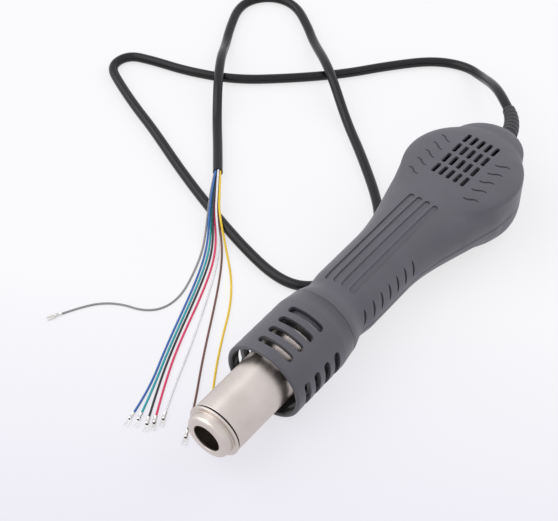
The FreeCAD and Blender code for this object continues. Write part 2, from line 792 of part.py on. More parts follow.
def make_housing():
    """Blower housing with its outlet, lugs and bearing sleeve, and the cover."""
    height = "housing_top - housing_bottom"
    drum = rod("housing_drum", HOUSING_RADIUS, height, ("0", "0", "housing_bottom"))
    outlet = block("housing_outlet", "outlet_reach", "2 * (outlet_half_width + housing_wall)", height,
                   ("-outlet_reach", "-outlet_half_width - housing_wall", "housing_bottom"))
    lugs = []
    holes = []
    cover_lugs = []
    cover_holes = []
    screws = []
    top = "housing_top + cover_thickness"
    for number, angle in enumerate((50, 130, 230, 310), start=1):
        place = (LUG_CIRCLE + " * %.6f" % math.cos(math.radians(angle)),
                 LUG_CIRCLE + " * %.6f" % math.sin(math.radians(angle)))
        lugs.append(rod("lug_%d" % number, "lug_radius", "lug_height", place + ("housing_top - lug_height",)))
        holes.append(rod("lug_hole_%d" % number, "cover_screw_shank + seat_gap", "cover_screw_length",
                         place + ("housing_top - cover_screw_length + 0.5",)))
        cover_lugs.append(rod("cover_lug_%d" % number, "lug_radius", "cover_thickness", place + ("housing_top",)))
        cover_holes.append(rod("cover_hole_%d" % number, "cover_screw_shank + screw_clearance",
                               "cover_thickness + 2", place + ("housing_top - 1",)))
        shank = rod("cover_shank_%d" % number, "cover_screw_shank", "cover_screw_length",
                    place + (top + " - cover_screw_length",))
        head = rod("cover_head_%d" % number, "cover_screw_head", "cover_screw_head_height", place + (top,))
        screws.append(joined("cover_screw_%d" % number, [shank, head]))
    outside = joined("housing_outside", [drum, outlet] + lugs)
    room = rod("housing_room", HOUSING_RADIUS + " - housing_wall", height, ("0", "0", "housing_bottom + housing_wall"))
    duct = block("housing_duct", "outlet_reach + 1", "2 * outlet_half_width", height,
                 ("-outlet_reach - 1", "-outlet_half_width", "housing_bottom + housing_wall"))
    hollow = cut("housing_hollow", outside, [room, duct] + holes)
    sleeve = rod("bearing_sleeve", "bearing_radius + seat_gap + sleeve_wall", "sleeve_height",
                 ("0", "0", "housing_bottom + housing_wall / 2"))
    bore = rod("bearing_bore", "bearing_radius + seat_gap", "sleeve_height",
               ("0", "0", "housing_bottom + housing_wall"))
    passages = []
    for side in (-1, 1):
        passages.append(rod("lead_hole_%s" % ("left" if side < 0 else "right"), "thin_lead_radius + 0.3",
                            "housing_wall + 2", ("9", "%.1f" % (side * 2.9), "housing_bottom - 1")))
    housing = cut("housing_bored", joined("housing_with_sleeve", [hollow, sleeve]), [bore] + passages)
    node("blower_housing", housing, AT_DRUM)
    plate = rod("cover_plate", HOUSING_RADIUS, "cover_thickness", ("0", "0", "housing_top"))
    tongue = block("cover_tongue", "outlet_reach", "2 * (outlet_half_width + housing_wall)", "cover_thickness",
                   ("-outlet_reach", "-outlet_half_width - housing_wall", "housing_top"))
    inlet = rod("cover_inlet", "inlet_radius", "cover_thickness + 2", ("0", "0", "housing_top - 1"))
    cover = cut("cover_cut", joined("cover_outline", [plate, tongue] + cover_lugs), [inlet] + cover_holes)
    node("blower_cover", cover, AT_DRUM)
    node("cover_screws", group("cover_screw_group", screws), AT_DRUM)


FLOOR = "housing_bottom + housing_wall"
ROTOR_FLOOR = FLOOR + " + floor_gap"


def make_rotor():
    """Impeller with its hub cup, magnet ring and shaft."""
    inner = "hub_radius - hub_wall"
    cup = turned("impeller_cup", [
        ("shaft_radius + seat_gap", ROTOR_FLOOR + " + hub_height - hub_cap"),
        (inner, ROTOR_FLOOR + " + hub_height - hub_cap"),
        (inner, ROTOR_FLOOR),
        (IMPELLER_RADIUS, ROTOR_FLOOR),
        (IMPELLER_RADIUS, ROTOR_FLOOR + " + impeller_floor"),
        ("hub_radius", ROTOR_FLOOR + " + impeller_floor"),
        ("hub_radius", ROTOR_FLOOR + " + hub_height - 1"),
        ("hub_radius - 1", ROTOR_FLOOR + " + hub_height"),
        ("shaft_radius + seat_gap", ROTOR_FLOOR + " + hub_height"),
    ], upright=True)
    blades = []
    step = 360.0 / count("blade_count")
    for number in range(count("blade_count")):
        blade = block("blade_%d" % (number + 1), IMPELLER_RADIUS + " - hub_radius + 0.3", "blade_thickness",
                      "blade_height - impeller_floor / 2", ("0", "0", "0"))
        angle = step * number
        blade.Placement.Rotation = Rotation(Vector(0, 0, 1), angle)
        across = math.radians(angle)
        inset = "(hub_radius - 0.5)"
        blade.setExpression(".Placement.Base.x", bind("%s * %.6f + blade_thickness / 2 * %.6f" % (
            inset, math.cos(across), math.sin(across))))
        blade.setExpression(".Placement.Base.y", bind("%s * %.6f - blade_thickness / 2 * %.6f" % (
            inset, math.sin(across), math.cos(across))))
        blade.setExpression(".Placement.Base.z", bind(ROTOR_FLOOR + " + impeller_floor / 2"))
        blades.append(blade)
    node("impeller", joined("impeller_whole", [cup] + blades), AT_DRUM)
    lift = ROTOR_FLOOR + " + 1.2"
    outer = inner + " - seat_gap"
    node("rotor_magnet", turned("magnet", [
        (outer + " - magnet_wall", lift),
        (outer, lift),
        (outer, lift + " + magnet_height"),
        (outer + " - magnet_wall", lift + " + magnet_height"),
    ], upright=True), AT_DRUM)
    node("rotor_shaft", rod("shaft", "shaft_radius", "floor_gap + hub_height - 0.6",
                            ("0", "0", FLOOR + " + 0.6")), AT_DRUM)


def make_motor():
    """Two bearings, the stator with its coils, and the motor board."""
    bore = "shaft_radius + shaft_clearance"
    places = {"lower_bearing": FLOOR + " + 0.3",
              "upper_bearing": "housing_bottom + housing_wall / 2 + sleeve_height - bearing_height - 0.2"}
    for label, lift in places.items():
        node(label, turned(label + "_ring", [
            (bore, lift),
            ("bearing_radius", lift),
            ("bearing_radius", lift + " + bearing_height"),
            (bore, lift + " + bearing_height"),
        ], upright=True), AT_DRUM)
    sleeve = "bearing_radius + seat_gap + sleeve_wall + seat_gap"
    reach = "hub_radius - hub_wall - seat_gap - magnet_wall - air_gap"
    lift = FLOOR + " + stator_lift"
    ring = rod("stator_yoke", sleeve + " + 1.7", "stator_height", ("0", "0", lift))
    shoe_ring = cut("stator_shoe_ring", rod("stator_outside", reach, "stator_height", ("0", "0", lift)),
                    [rod("stator_inside", reach + " - pole_shoe", "stator_height + 2", ("0", "0", lift + " - 1"))])
    teeth, coils, wedges = [], [], []
    for number in range(count("pole_count")):
        turn = Rotation(Vector(0, 0, 1), 360.0 * number / count("pole_count"))
        teeth.append(turned_block("tooth_%d" % number, reach + " - 0.3", "tooth_width", "stator_height", lift, turn))
        wedge = primitive("Cylinder", "pole_wedge_%d" % number,
                          {"Radius": "hub_radius", "Height": "stator_height", "Angle": "pole_span"},
                          ("0", "0", lift))
        wedge.Placement.Rotation = turn.multiply(Rotation(Vector(0, 0, 1), -size("pole_span") / 2))
        wedges.append(wedge)
        winding = turned_block("winding_%d" % number, reach + " - pole_shoe - 0.6", "coil_width", "coil_height",
                               lift + " + (stator_height - coil_height) / 2", turn)
        hole = turned_block("winding_hole_%d" % number, reach, "tooth_width + 2 * seat_gap",
                            "stator_height + 2 * seat_gap", lift + " - seat_gap", turn)
        middle = rod("winding_middle_%d" % number, sleeve + " + 1.8", "coil_height + 2",
                     ("0", "0", lift + " - 2"))
        coils.append(cut("stator_coil_%d" % number, winding, [hole, middle]))
    shoes = doc.addObject("Part::MultiCommon", "stator_shoes")
    shoes.Shapes = [shoe_ring, joined("pole_wedges", wedges)]
    centre = rod("stator_bore", sleeve, "stator_height + 2", ("0", "0", lift + " - 1"))
    node("stator_core", cut("stator_bored", joined("stator_star", [ring, shoes] + teeth), [centre]), AT_DRUM)
    node("stator_coils", group("stator_coil_group", coils), AT_DRUM)
    node("motor_board", turned("board", [
        (sleeve, FLOOR),
        (reach, FLOOR),
        (reach, FLOOR + " + board_thickness"),
        (sleeve, FLOOR + " + board_thickness"),
    ], upright=True), AT_DRUM)


def turned_block(name, length, width, height, lift, turn):
    """A box from the upright axis outwards, centred across and turned about the axis."""
    box = block(name, length, width, height, ("0", "0", lift))
    box.Placement.Rotation = turn
    shift = turn.multVec(Vector(0, -1, 0))
    box.setExpression(".Placement.Base.x", bind("%.6f * (%s) / 2" % (shift.x, width)))
    box.setExpression(".Placement.Base.y", bind("%.6f * (%s) / 2" % (shift.y, width)))
    return box


# ---------------------------------------------------------------- switch, clamp and boot


def make_switch():
    """Reed switch on its small board."""
    node("reed_switch_board", block("reed_board", "reed_board_length", "reed_board_width", "reed_board_thickness",
                                    ("reed_board_place - reed_board_length / 2", "-reed_board_width / 2",
                                     "-reed_board_height")))
    node("reed_switch", rod("reed", "reed_radius", "reed_length",
                            ("reed_board_place - reed_length / 2", "0",
                             "-reed_board_height + reed_board_thickness + reed_radius"), ALONG_X))


def make_clamp():
    """Cable end in its saddle under the clamp bar, with two screws."""
    node("cable_end", rod("cable_stub", "cable_radius", "cable_stub_to_end - boot_flange_to_end",
                          ("overall_length - cable_stub_to_end", "0", "0"), ALONG_X))
    low = "-seam_depth"
    bar = block("clamp_bar", "clamp_width", "2 * clamp_half_length", "seam_depth + clamp_height",
                ("overall_length - clamp_to_end", "-clamp_half_length", low))
    tunnel = rod("clamp_tunnel", "cable_radius", "clamp_width + 2", ("overall_length - clamp_to_end - 1", "0", "0"), ALONG_X)
    holes = []
    screws = []
    for side in (-1, 1):
        place = ("overall_length - clamp_to_end + clamp_width / 2", "%d * clamp_screw_side" % side)
        name = "left" if side < 0 else "right"
        holes.append(rod("clamp_hole_" + name, "clamp_screw_shank + screw_clearance",
                         "seam_depth + clamp_height + 2", place + ("-seam_depth - 1",)))
        shank = rod("clamp_shank_" + name, "clamp_screw_shank",
                    "clamp_screw_reach + seam_depth + clamp_height", place + ("-seam_depth - clamp_screw_reach",))
        head = rod("clamp_head_" + name, "clamp_screw_head", "clamp_screw_head_height", place + ("clamp_height",))
        screws.append(joined("clamp_screw_" + name, [shank, head]))
    node("cable_clamp", cut("clamp_cut", bar, [tunnel] + holes))
    node("clamp_screws", group("clamp_screw_group", screws))


def boot_frame(share):
    """Point and direction on the boot's centre line, from the nose (0) to its tip (1)."""
    angle = math.radians(size("boot_turn")) * share
    radius = size("boot_bend_radius")
    point = Vector(size("overall_length") + radius * math.sin(angle), radius * (1 - math.cos(angle)), 0)
    return point, Vector(math.cos(angle), math.sin(angle), 0)


def make_boot():
    """Ribbed strain relief: flange and neck in the nose wall, then a bent cone."""
    ribs = count("boot_ribs")
    stations = []
    for number in range(ribs):
        for share, drop in ((0.0, 0.0), (0.55, 0.0), (0.62, 1.0), (0.93, 1.0)):
            stations.append(((number + share) / ribs, drop))
    stations.append((1.0, 0.0))
    wires = []
    for share, drop in stations:
        point, heading = boot_frame(share)
        radius = size("boot_base_radius") + (size("boot_tip_radius") - size("boot_base_radius")) * share
        radius -= size("rib_depth") * drop * (1 - 0.5 * share)
        wires.append(Part.Wire([Part.Circle(point, heading, radius).toShape()]))
    cone = Part.makeLoft(wires, True, True)
    start = from_end("boot_flange_to_end")
    thickness = size("boot_flange_thickness")
    flange = cylinder_x(size("boot_flange_radius"), start, start + thickness)
    neck = cylinder_x(size("boot_neck"), start, size("overall_length") + 0.5)
    node("strain_relief_boot", feature("boot", cone.fuse([flange, neck]).removeSplitter()))


# ---------------------------------------------------------------- cables and leads


def route_path(points):
    """Straight runs joined by tangent arcs, each as large as its two runs allow. Returns wire, length, radii."""
    runs = [points[k + 1] - points[k] for k in range(len(points) - 1)]
    edges = []
    radii = []
    length = 0.0
    last = points[0]
    for k in range(1, len(points) - 1):
        before = Vector(runs[k - 1]).normalize()
        after = Vector(runs[k]).normalize()
        turn = before.getAngle(after)
        trim = 0.45 * min(runs[k - 1].Length, runs[k].Length)
        radius = trim / math.tan(turn / 2)
        start = points[k] - before * trim
        end = points[k] + after * trim
        inward = (after - before).normalize()
        middle = points[k] + inward * (radius / math.cos(turn / 2) - radius)
        edges.append(Part.LineSegment(last, start).toShape())
        edges.append(Part.Arc(start, middle, end).toShape())
        length += (start - last).Length + radius * turn
        radii.append(radius)
        last = end
    edges.append(Part.LineSegment(last, points[-1]).toShape())
    length += (points[-1] - last).Length
    return Part.Wire(edges), length, radii


def tube(label, points, radius, report=True):
    """A round tube along a route, its volume compared with section times length."""
    path, length, radii = route_path(points)
    heading = Vector(points[1] - points[0]).normalize()
    ring = Part.Wire([Part.Circle(points[0], heading, radius).toShape()])
    solid = path.makePipeShell([ring], True, False)
    expected = math.pi * radius * radius * length
    if abs(solid.Volume / expected - 1) > 0.01:
        raise ValueError("%s: volume %.2f, expected %.2f" % (label, solid.Volume, expected))
    if report:
        print("%s: length %.1f, arc radii %s" % (label, length, ", ".join("%.1f" % value for value in radii)))
    return solid


def route_points(places):
    """Points of a route from their coordinates."""
    return [Vector(*place) for place in places]


def make_leads():
    """Leads inside the handle, from the heater and the motor to the cable end."""
    heater, thin = size("heater_lead_radius"), size("thin_lead_radius")
    end = from_end("cable_stub_to_end")
    base_back, ring_back = size("flange_front"), size("flange_front") + size("flange_thickness") \
        + size("seal_thickness") + size("ring_thickness")
    place, rise = from_end("drum_to_end"), size("housing_bottom")
    outlet = place - size("outlet_reach")
    under = rise - 2.7
    probe_back = base_back + size("probe_tail")
    probe_side = size("air_hole_circle") * math.sqrt(0.5)
    leads = {"heater_leads": [], "sensor_leads": [], "fan_leads": []}
    for side in (-1, 1):
        leads["heater_leads"].append(tube("heater lead", route_points([
            (base_back, side * 5.2, 0), (base_back + 14, side * 5.2, 0), (base_back + 34, side * 4.6, -5.0),
            (outlet - 30, side * 4.7, -5.5), (outlet - 15, side * 4.6, -10.5), (outlet - 3, side * 4.8, under),
            (place - 4, side * 4.7, under),
            (place + 18, side * 4.9, under), (end - 3.9, side * 4.7, under + 0.2), (end - 3.7, side * 3.4, -5.0),
            (end - 2.0, side * 1.55, 0.75), (end, side * 1.55, 0.75)]), heater, False))
        leads["sensor_leads"].append(tube("sensor lead", route_points([
            (probe_back, probe_side + side * 0.7, probe_side), (probe_back + 8, probe_side + side * 0.7, probe_side),
            (base_back + 30, side * 1.2, -2.4), (outlet - 30, side * 1.3, -3.2), (outlet - 14, side * 1.25, -9.0),
            (outlet - 2, side * 1.4, under), (place - 4, side * 1.3, under), (place + 18, side * 1.35, under),
            (end - 2.4, side * 1.25, under + 0.2), (end - 2.2, side * 1.1, -5.0), (end - 1.2, side * 0.6, -1.2),
            (end, side * 0.6, -1.2)]), thin, False))
        leads["fan_leads"].append(tube("fan lead", route_points([
            (place + 9, side * 2.9, rise + size("housing_wall")), (place + 9, side * 2.9, rise - 1.3),
            (place + 12, side * 2.95, under + 0.1), (place + 18, side * 3.0, under),
            (end - 2.0, side * 2.8, under + 0.2), (end - 1.9, side * 2.3, -4.6), (end - 1.1, side * 1.7, -1.1),
            (end, side * 1.7, -1.1)]), thin, False))
    for label, solids in leads.items():
        node(label, feature(label + "_tubes", Part.makeCompound(solids)))
    tab_end = ring_back + size("earth_tab_length")
    tab_middle = -size("earth_tab_height") + size("earth_tab_thickness") / 2
    node("earth_lead", feature("earth_tube", tube("earth lead", route_points([
        (tab_end, 0, tab_middle), (tab_end + 7, 0, tab_middle), (tab_end + 18, -0.1, -6.2), (outlet - 30, 0, -6.8),
        (outlet - 13, 0.1, -11.4), (outlet - 2, 0, under - 0.1), (place - 4, 0.1, under), (place + 18, 0, under - 0.1),
        (end - 4.2, 0, under + 0.1), (end - 4.0, 0.1, -2.0), (end - 1.8, 0, 1.95), (end, 0, 1.95)]), thin, False)))


def boot_tip():
    """World place of the boot's tip, where the cable leaves."""
    return boot_frame(1.0)[0] + Vector(-size("overall_length") / 2, 0, size("collar_radius"))


# Route of the cable in the world frame, from the second point on, with the floor at z = 0.
CABLE_POINTS = [
    (147.2, 19.9, 20.0), (157.0, 31.0, 15.0), (167.5, 43.0, 6.4), (174.0, 57.5, 2.6), (167.0, 74.5, 2.6),
    (148.6, 90.9, 2.6), (125.5, 108.0, 2.6), (105.0, 128.5, 2.6), (86.0, 150.5, 2.6), (75.0, 176.0, 2.6),
    (70.0, 197.5, 2.6), (65.0, 211.5, 2.6), (51.6, 212.9, 2.6), (43.5, 197.5, 2.6), (35.0, 178.5, 2.6),
    (27.2, 158.5, 2.6), (12.6, 126.5, 2.6), (0.4, 95.5, 2.6), (-9.2, 67.0, 2.6), (-14.5, 44.5, 2.6),
    (-12.5, 30.0, 2.6), (-2.5, 20.5, 2.6), (12.0, 17.5, 2.6), (28.0, 18.5, 2.6), (43.5, 23.5, 2.6),
    (58.0, 35.0, 2.6), (80.0, 61.2, 2.6), (96.0, 82.5, 2.6), (111.5, 103.0, 9.4), (122.5, 117.0, 9.4),
    (138.0, 136.5, 2.6), (148.5, 149.5, 2.6), (158.4, 165.0, 2.6), (158.0, 178.6, 2.6), (149.2, 188.4, 2.6),
    (136.3, 190.4, 2.6), (118.0, 181.7, 2.6), (105.0, 174.0, 2.6), (90.0, 164.5, 9.4), (73.0, 152.5, 9.4),
    (54.0, 137.5, 2.6), (38.0, 123.5, 2.6), (22.5, 110.5, 4.2),
]

# Each loose wire: its place on the ring in the jacket's end (degrees, none for the middle), its side offset and
# lift where the bundle crosses the cable, and its route on the floor.
FLOOR_LIFT = 0.56
WIRES = {
    "grey": (180.0, -2.45, -0.58, [(-20.4, 83.9), (-37.0, 76.6), (-51.5, 72.2), (-62.5, 74.0), (-69.0, 81.0),
                                   (-71.5, 90.5), (-77.0, 99.0), (-86.0, 105.5), (-95.0, 109.8)]),
    "blue": (128.6, -1.75, 0.58, [(-19.6, 82.2), (-41.0, 71.9), (-78.0, 57.6), (-102.0, 46.9), (-117.2, 43.4)]),
    "teal": (231.4, -1.05, -0.58, [(-19.0, 80.8), (-40.4, 70.5), (-77.4, 56.1), (-101.4, 45.5), (-115.2, 40.3)]),
    "black": (None, -0.35, 0.58, [(-18.4, 79.4), (-39.8, 69.1), (-76.8, 54.7), (-99.5, 44.2), (-114.8, 36.0)]),
    "pink": (282.9, 0.35, -0.58, [(-17.4, 78.0), (-39.0, 66.9), (-76.0, 52.9), (-98.0, 42.0), (-112.4, 33.9)]),
    "white": (77.1, 1.05, 0.58, [(-16.6, 76.6), (-37.0, 64.9), (-72.0, 48.2), (-95.0, 38.6), (-108.3, 32.0)]),
    "brown": (334.3, 1.75, -0.58, [(-15.6, 75.3), (-37.5, 60.4), (-74.0, 39.2), (-97.0, 24.3), (-109.6, 17.8)]),
    "yellow": (25.7, 2.45, 0.58, [(-14.6, 74.1), (-26.0, 61.5), (-40.0, 50.2), (-60.5, 39.2), (-79.5, 27.6),
                                  (-94.0, 17.0), (-103.0, 5.5)]),
}
RING_RADIUS = 1.5
WIRE_TAIL = 1.0
BUNDLE_NEAR = Vector(6.5, 99.0, 7.1)
BUNDLE_FAR = Vector(-3.5, 91.5, 7.1)


def cable_route():
    """The cable's whole route, starting at the boot's tip."""
    tip = boot_tip()
    return [tip] + route_points(CABLE_POINTS)


def wire_route(ring_angle, offset, lift, floor_points):
    """A loose wire from the jacket's end, over the cable and down to the floor."""
    end = Vector(*CABLE_POINTS[-1])
    heading = (end - Vector(*CABLE_POINTS[-2])).normalize()
    side = Vector(-heading.y, heading.x, 0).normalize() * (1 if heading.x > 0 else -1)
    up = side.cross(heading) if side.cross(heading).z > 0 else heading.cross(side)
    start = Vector(end)
    if ring_angle is not None:
        angle = math.radians(ring_angle)
        start = end - side * (RING_RADIUS * math.cos(angle)) + up * (RING_RADIUS * math.sin(angle))
    start = start - heading * WIRE_TAIL
    across = (BUNDLE_FAR - BUNDLE_NEAR).normalize()
    across = Vector(-across.y, across.x, 0) * (-1 if across.x < 0 else 1)
    near = BUNDLE_NEAR - across * offset + Vector(0, 0, lift)
    far = BUNDLE_FAR - across * (1.15 * offset) + Vector(0, 0, lift)
    early = start + (near - start) * 0.47 + Vector(0, 0, 0.45)
    return [start, early, near, far] + [Vector(x, y, FLOOR_LIFT) for x, y in floor_points]


def terminal(points):
    """A crimp terminal lying on the floor, over the wire's end."""
    heading = Vector(points[-1] - points[-2]).normalize()
    heading = Vector(heading.x, heading.y, 0).normalize()
    end = Vector(points[-1].x, points[-1].y, size("crimp_radius"))
    start = end - heading * size("crimp_overlap")
    barrel = Part.makeCylinder(size("crimp_radius"), size("crimp_length"), start, heading)
    blade = Part.makeBox(size("blade_length"), size("blade_width"), size("blade_sheet"),
                         Vector(0, -size("blade_width") / 2, 0))
    turn = math.degrees(math.atan2(heading.y, heading.x))
    place = start + heading * (size("crimp_length") - 0.4)
    blade.Placement = FreeCAD.Placement(Vector(place.x, place.y, 0.4), Rotation(Vector(0, 0, 1), turn))
    return barrel.fuse(blade)


def make_cables():
    """Cable jacket, eight loose wires and their terminals, already in the world frame."""
    here = ("0", "0", "0")
    node("cable_jacket", feature("jacket", tube("cable_jacket", cable_route(), size("cable_radius"))), here)
    terminals = []
    for colour, (ring_angle, offset, lift, floor_points) in WIRES.items():
        points = wire_route(ring_angle, offset, lift, floor_points)
        label = "wire_" + colour
        node(label, feature(label + "_tube", tube(label, points, size("wire_radius"))), here)
        terminals.append(terminal(points))
    node("wire_terminals", feature("terminals", Part.makeCompound(terminals)), here)


# ---------------------------------------------------------------- whole part

make_nozzle()
make_mounting()
make_heater()
make_collar()
make_shells()
make_housing()
make_rotor()
make_motor()
make_switch()
make_clamp()
make_boot()
make_leads()
make_cables()
doc.recompute()

for thing in doc.Objects:
    if "Invalid" in thing.State or "Error" in thing.State:
        raise ValueError("%s failed: %s" % (thing.Name, thing.State))
for label, thing in NODES.items():
    if thing.Shape.isNull() or not thing.Shape.isValid() or thing.Shape.Volume <= 0:
        raise ValueError("%s has no valid shape" % label)

os.makedirs("parts", exist_ok=True)
for label, thing in NODES.items():
    thing.Shape.exportStep("parts/%s.step" % label)
    box = thing.Shape.BoundBox
    print("%-20s solids %2d  volume %10.1f  x %7.1f %7.1f  y %7.1f %7.1f  z %6.2f %6.2f" % (
        label, len(thing.Shape.Solids), thing.Shape.Volume, box.XMin, box.XMax, box.YMin, box.YMax, box.ZMin, box.ZMax))
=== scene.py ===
"""Hot air handle with its cable and loose wires: the looks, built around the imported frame.

Sizes of a sub-assembly are its dataclass fields, in millimetres unless its docstring says otherwise, and MM
turns them into metres where a mesh is made. Places along the handle are measured from its mouth, and heights
from its axis. The row frame is the frame that the nodes are packed in.
"""

import json
import logging
import math
from collections.abc import Callable, Iterable
from dataclasses import dataclass, fields
from enum import Enum

import bmesh
import bpy
import numpy as np
from mathutils import Matrix, Vector

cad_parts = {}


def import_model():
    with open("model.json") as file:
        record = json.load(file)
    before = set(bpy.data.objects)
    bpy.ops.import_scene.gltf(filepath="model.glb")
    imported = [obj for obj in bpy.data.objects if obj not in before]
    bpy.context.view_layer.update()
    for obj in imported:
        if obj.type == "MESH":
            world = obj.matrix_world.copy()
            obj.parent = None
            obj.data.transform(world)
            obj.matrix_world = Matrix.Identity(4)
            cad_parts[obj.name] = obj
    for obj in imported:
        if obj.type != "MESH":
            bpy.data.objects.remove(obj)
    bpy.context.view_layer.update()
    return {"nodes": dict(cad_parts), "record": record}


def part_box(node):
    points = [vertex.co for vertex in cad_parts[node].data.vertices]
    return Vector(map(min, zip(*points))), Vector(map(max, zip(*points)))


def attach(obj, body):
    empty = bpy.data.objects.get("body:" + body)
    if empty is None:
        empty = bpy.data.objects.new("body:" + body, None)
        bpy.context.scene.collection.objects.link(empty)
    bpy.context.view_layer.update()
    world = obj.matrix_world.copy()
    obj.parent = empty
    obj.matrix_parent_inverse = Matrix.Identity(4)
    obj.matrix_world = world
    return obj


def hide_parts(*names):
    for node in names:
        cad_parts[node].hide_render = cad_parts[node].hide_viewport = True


Socket = bpy.types.NodeSocket
Pair = tuple[float, float]
Triple = tuple[float, float, float]
Face = tuple[int, ...]
Inputs = dict[str | int, object]
Numbers = np.ndarray | float

MM = 0.001
CORE_MM = 0.01  # the radius that stands for the axis in a turned section
SHARP_DEGREES = 32.0  # edges that turn more than this stay sharp
NOISE_SPAN = (0.3, 0.7)  # where nearly all values of a noise lie
LOG = logging.getLogger("hot_air_handle")


@dataclass(frozen=True)
class Layout:
    """Where the frame puts the handle's mouth and its axis, in metres."""

    mouth: float = 0.0
    axis_height: float = 0.0

    @classmethod
    def from_frame(cls) -> "Layout":
        """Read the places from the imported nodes."""
        low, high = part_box("front_collar")
        return cls(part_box("nozzle_neck")[0].x, (low.z + high.z) / 2)

    def point(self, place_mm: float, across_mm: float, height_mm: float) -> Vector:
        """A point in the row frame, from its place behind the mouth and its height above the axis."""
        return Vector((self.mouth + place_mm * MM, across_mm * MM, self.axis_height + height_mm * MM))


LAYOUT = Layout()


# ---------------------------------------------------------------- node trees


class Nodes:
    """A node tree under construction."""

    def __init__(self, tree: bpy.types.NodeTree) -> None:
        """Work on a tree."""
        self.tree = tree

    def feed(self, target: Socket, value: object) -> None:
        """Link a socket to an input, or set a plain value on it.

        Args:
            target: the input.
            value: a socket or a plain value.
        """
        if isinstance(value, Socket):
            self.tree.links.new(value, target)
        else:
            target.default_value = value

    def node(self, kind: str, inputs: Inputs | None = None, **settings: object) -> bpy.types.Node:
        """Add a node.

        Args:
            kind: the node's type.
            inputs: sockets or plain values for its inputs, by name or number.
            settings: its own properties.

        Returns:
            The node.
        """
        made = self.tree.nodes.new(kind)
        for key, value in settings.items():
            setattr(made, key, value)
        for key, value in (inputs or {}).items():
            self.feed(made.inputs[key], value)
        return made

    def math(self, operation: str, first: object, second: object = 0.0) -> Socket:
        """One sum on two numbers or sockets."""
        return self.node("ShaderNodeMath", {0: first, 1: second}, operation=operation).outputs[0]

    def vector_math(self, operation: str, first: object, second: Triple = (0.0, 0.0, 0.0),
                    result: str = "Vector") -> Socket:
        """One sum on a vector socket and a plain vector."""
        inputs = {0: first, 1: second}
        return self.node("ShaderNodeVectorMath", inputs, operation=operation).outputs[result]

    def seen(self, share: float) -> Socket:
        """A share that holds for camera, glossy and transmission rays and is zero for the light itself.

        Args:
            share: the share where it holds.

        Returns:
            The share.
        """
        rays = self.node("ShaderNodeLightPath").outputs
        reflected = self.math("MAXIMUM", rays["Is Camera Ray"], rays["Is Glossy Ray"])
        return self.math("MULTIPLY", self.math("MAXIMUM", reflected, rays["Is Transmission Ray"]), share)


class Shader(Nodes):
    """A material under construction, on Object coordinates."""

    def __init__(self, name: str) -> None:
        """Start a material with one Principled shader.

        Args:
            name: the material's name.
        """
        self.material = bpy.data.materials.new(name)
        self.material.use_nodes = True
        super().__init__(self.material.node_tree)
        self.surface = self.tree.nodes["Principled BSDF"]
        self.place = self.node("ShaderNodeTexCoord").outputs["Object"]

    def settle(self, **values: object) -> None:
        """Set the shader's sockets, named with underscores for spaces, to numbers, colours or sockets.

        Args:
            values: what each socket gets.
        """
        for name, value in values.items():
            plain = (*value, 1.0) if isinstance(value, tuple) else value
            self.feed(self.surface.inputs[name.replace("_", " ")], plain)

    def noise(self, size_mm: float, detail: float = 2.0, stretch: Triple = (1.0, 1.0, 1.0)) -> Socket:
        """Soft noise.

        Args:
            size_mm: the size of its largest spots.
            detail: how many finer layers it has.
            stretch: how much finer it is along each axis.

        Returns:
            The noise's value.
        """
        place = self.place
        if stretch != (1.0, 1.0, 1.0):
            place = self.node("ShaderNodeMapping", {"Vector": place, "Scale": stretch}).outputs["Vector"]
        inputs = {"Vector": place, "Scale": 1.0 / (size_mm * MM), "Detail": detail}
        return self.node("ShaderNodeTexNoise", inputs).outputs["Fac"]

    def ramp(self, value: Socket, low: float, high: float, first: float = 0.0, last: float = 1.0
             ) -> Socket:
        """Map a value's range from low..high onto first..last, clamped."""
        return self.node("ShaderNodeMapRange", {"Value": value, "From Min": low, "From Max": high,
                                                "To Min": first, "To Max": last}).outputs["Result"]

    def mixed(self, share: Socket, first: Socket | Triple, second: Triple) -> Socket:
        """A colour between two colours, the first of which may be a socket.

        Args:
            share: how much of the second it has.
            first: the colour at zero.
            second: the colour at one.

        Returns:
            The colour.
        """
        start = (*first, 1.0) if isinstance(first, tuple) else first
        inputs = {0: share, 6: start, 7: (*second, 1.0)}
        return self.node("ShaderNodeMix", inputs, data_type="RGBA").outputs[2]

    def axis_distance(self) -> Socket:
        """Distance from the handle's axis, in metres.

        Returns:
            The distance.
        """
        moved = self.vector_math("SUBTRACT", self.place, (0.0, 0.0, LAYOUT.axis_height))
        level = self.vector_math("MULTIPLY", moved, (0.0, 1.0, 1.0))
        return self.vector_math("LENGTH", level, result="Value")

    def inside(self, radius_mm: float, start_mm: float, edge_mm: Pair = (0.35, 0.3)) -> Socket:
        """One within a radius of the handle's axis and behind a place along it, and zero elsewhere.

        Args:
            radius_mm: the radius.
            start_mm: the place.
            edge_mm: how soft the edge is across and along.

        Returns:
            The value.
        """
        near = self.ramp(self.axis_distance(), radius_mm * MM, (radius_mm + edge_mm[0]) * MM, 1.0, 0.0)
        along = self.node("ShaderNodeSeparateXYZ", {0: self.place}).outputs["X"]
        start = LAYOUT.mouth + start_mm * MM
        return self.math("MULTIPLY", near, self.ramp(along, start, start + edge_mm[1] * MM))

    def bump(self, height: Socket, depth_mm: float) -> None:
        """Raise the surface by a value, where one stands for the given depth."""
        bump = self.node("ShaderNodeBump", {"Height": height, "Distance": depth_mm * MM})
        self.settle(Normal=bump.outputs["Normal"])


# ---------------------------------------------------------------- finishes


def shade(colour: Triple, factor: float) -> Triple:
    """A colour made lighter or darker by a factor."""
    return tuple(min(1.0, channel * factor) for channel in colour)


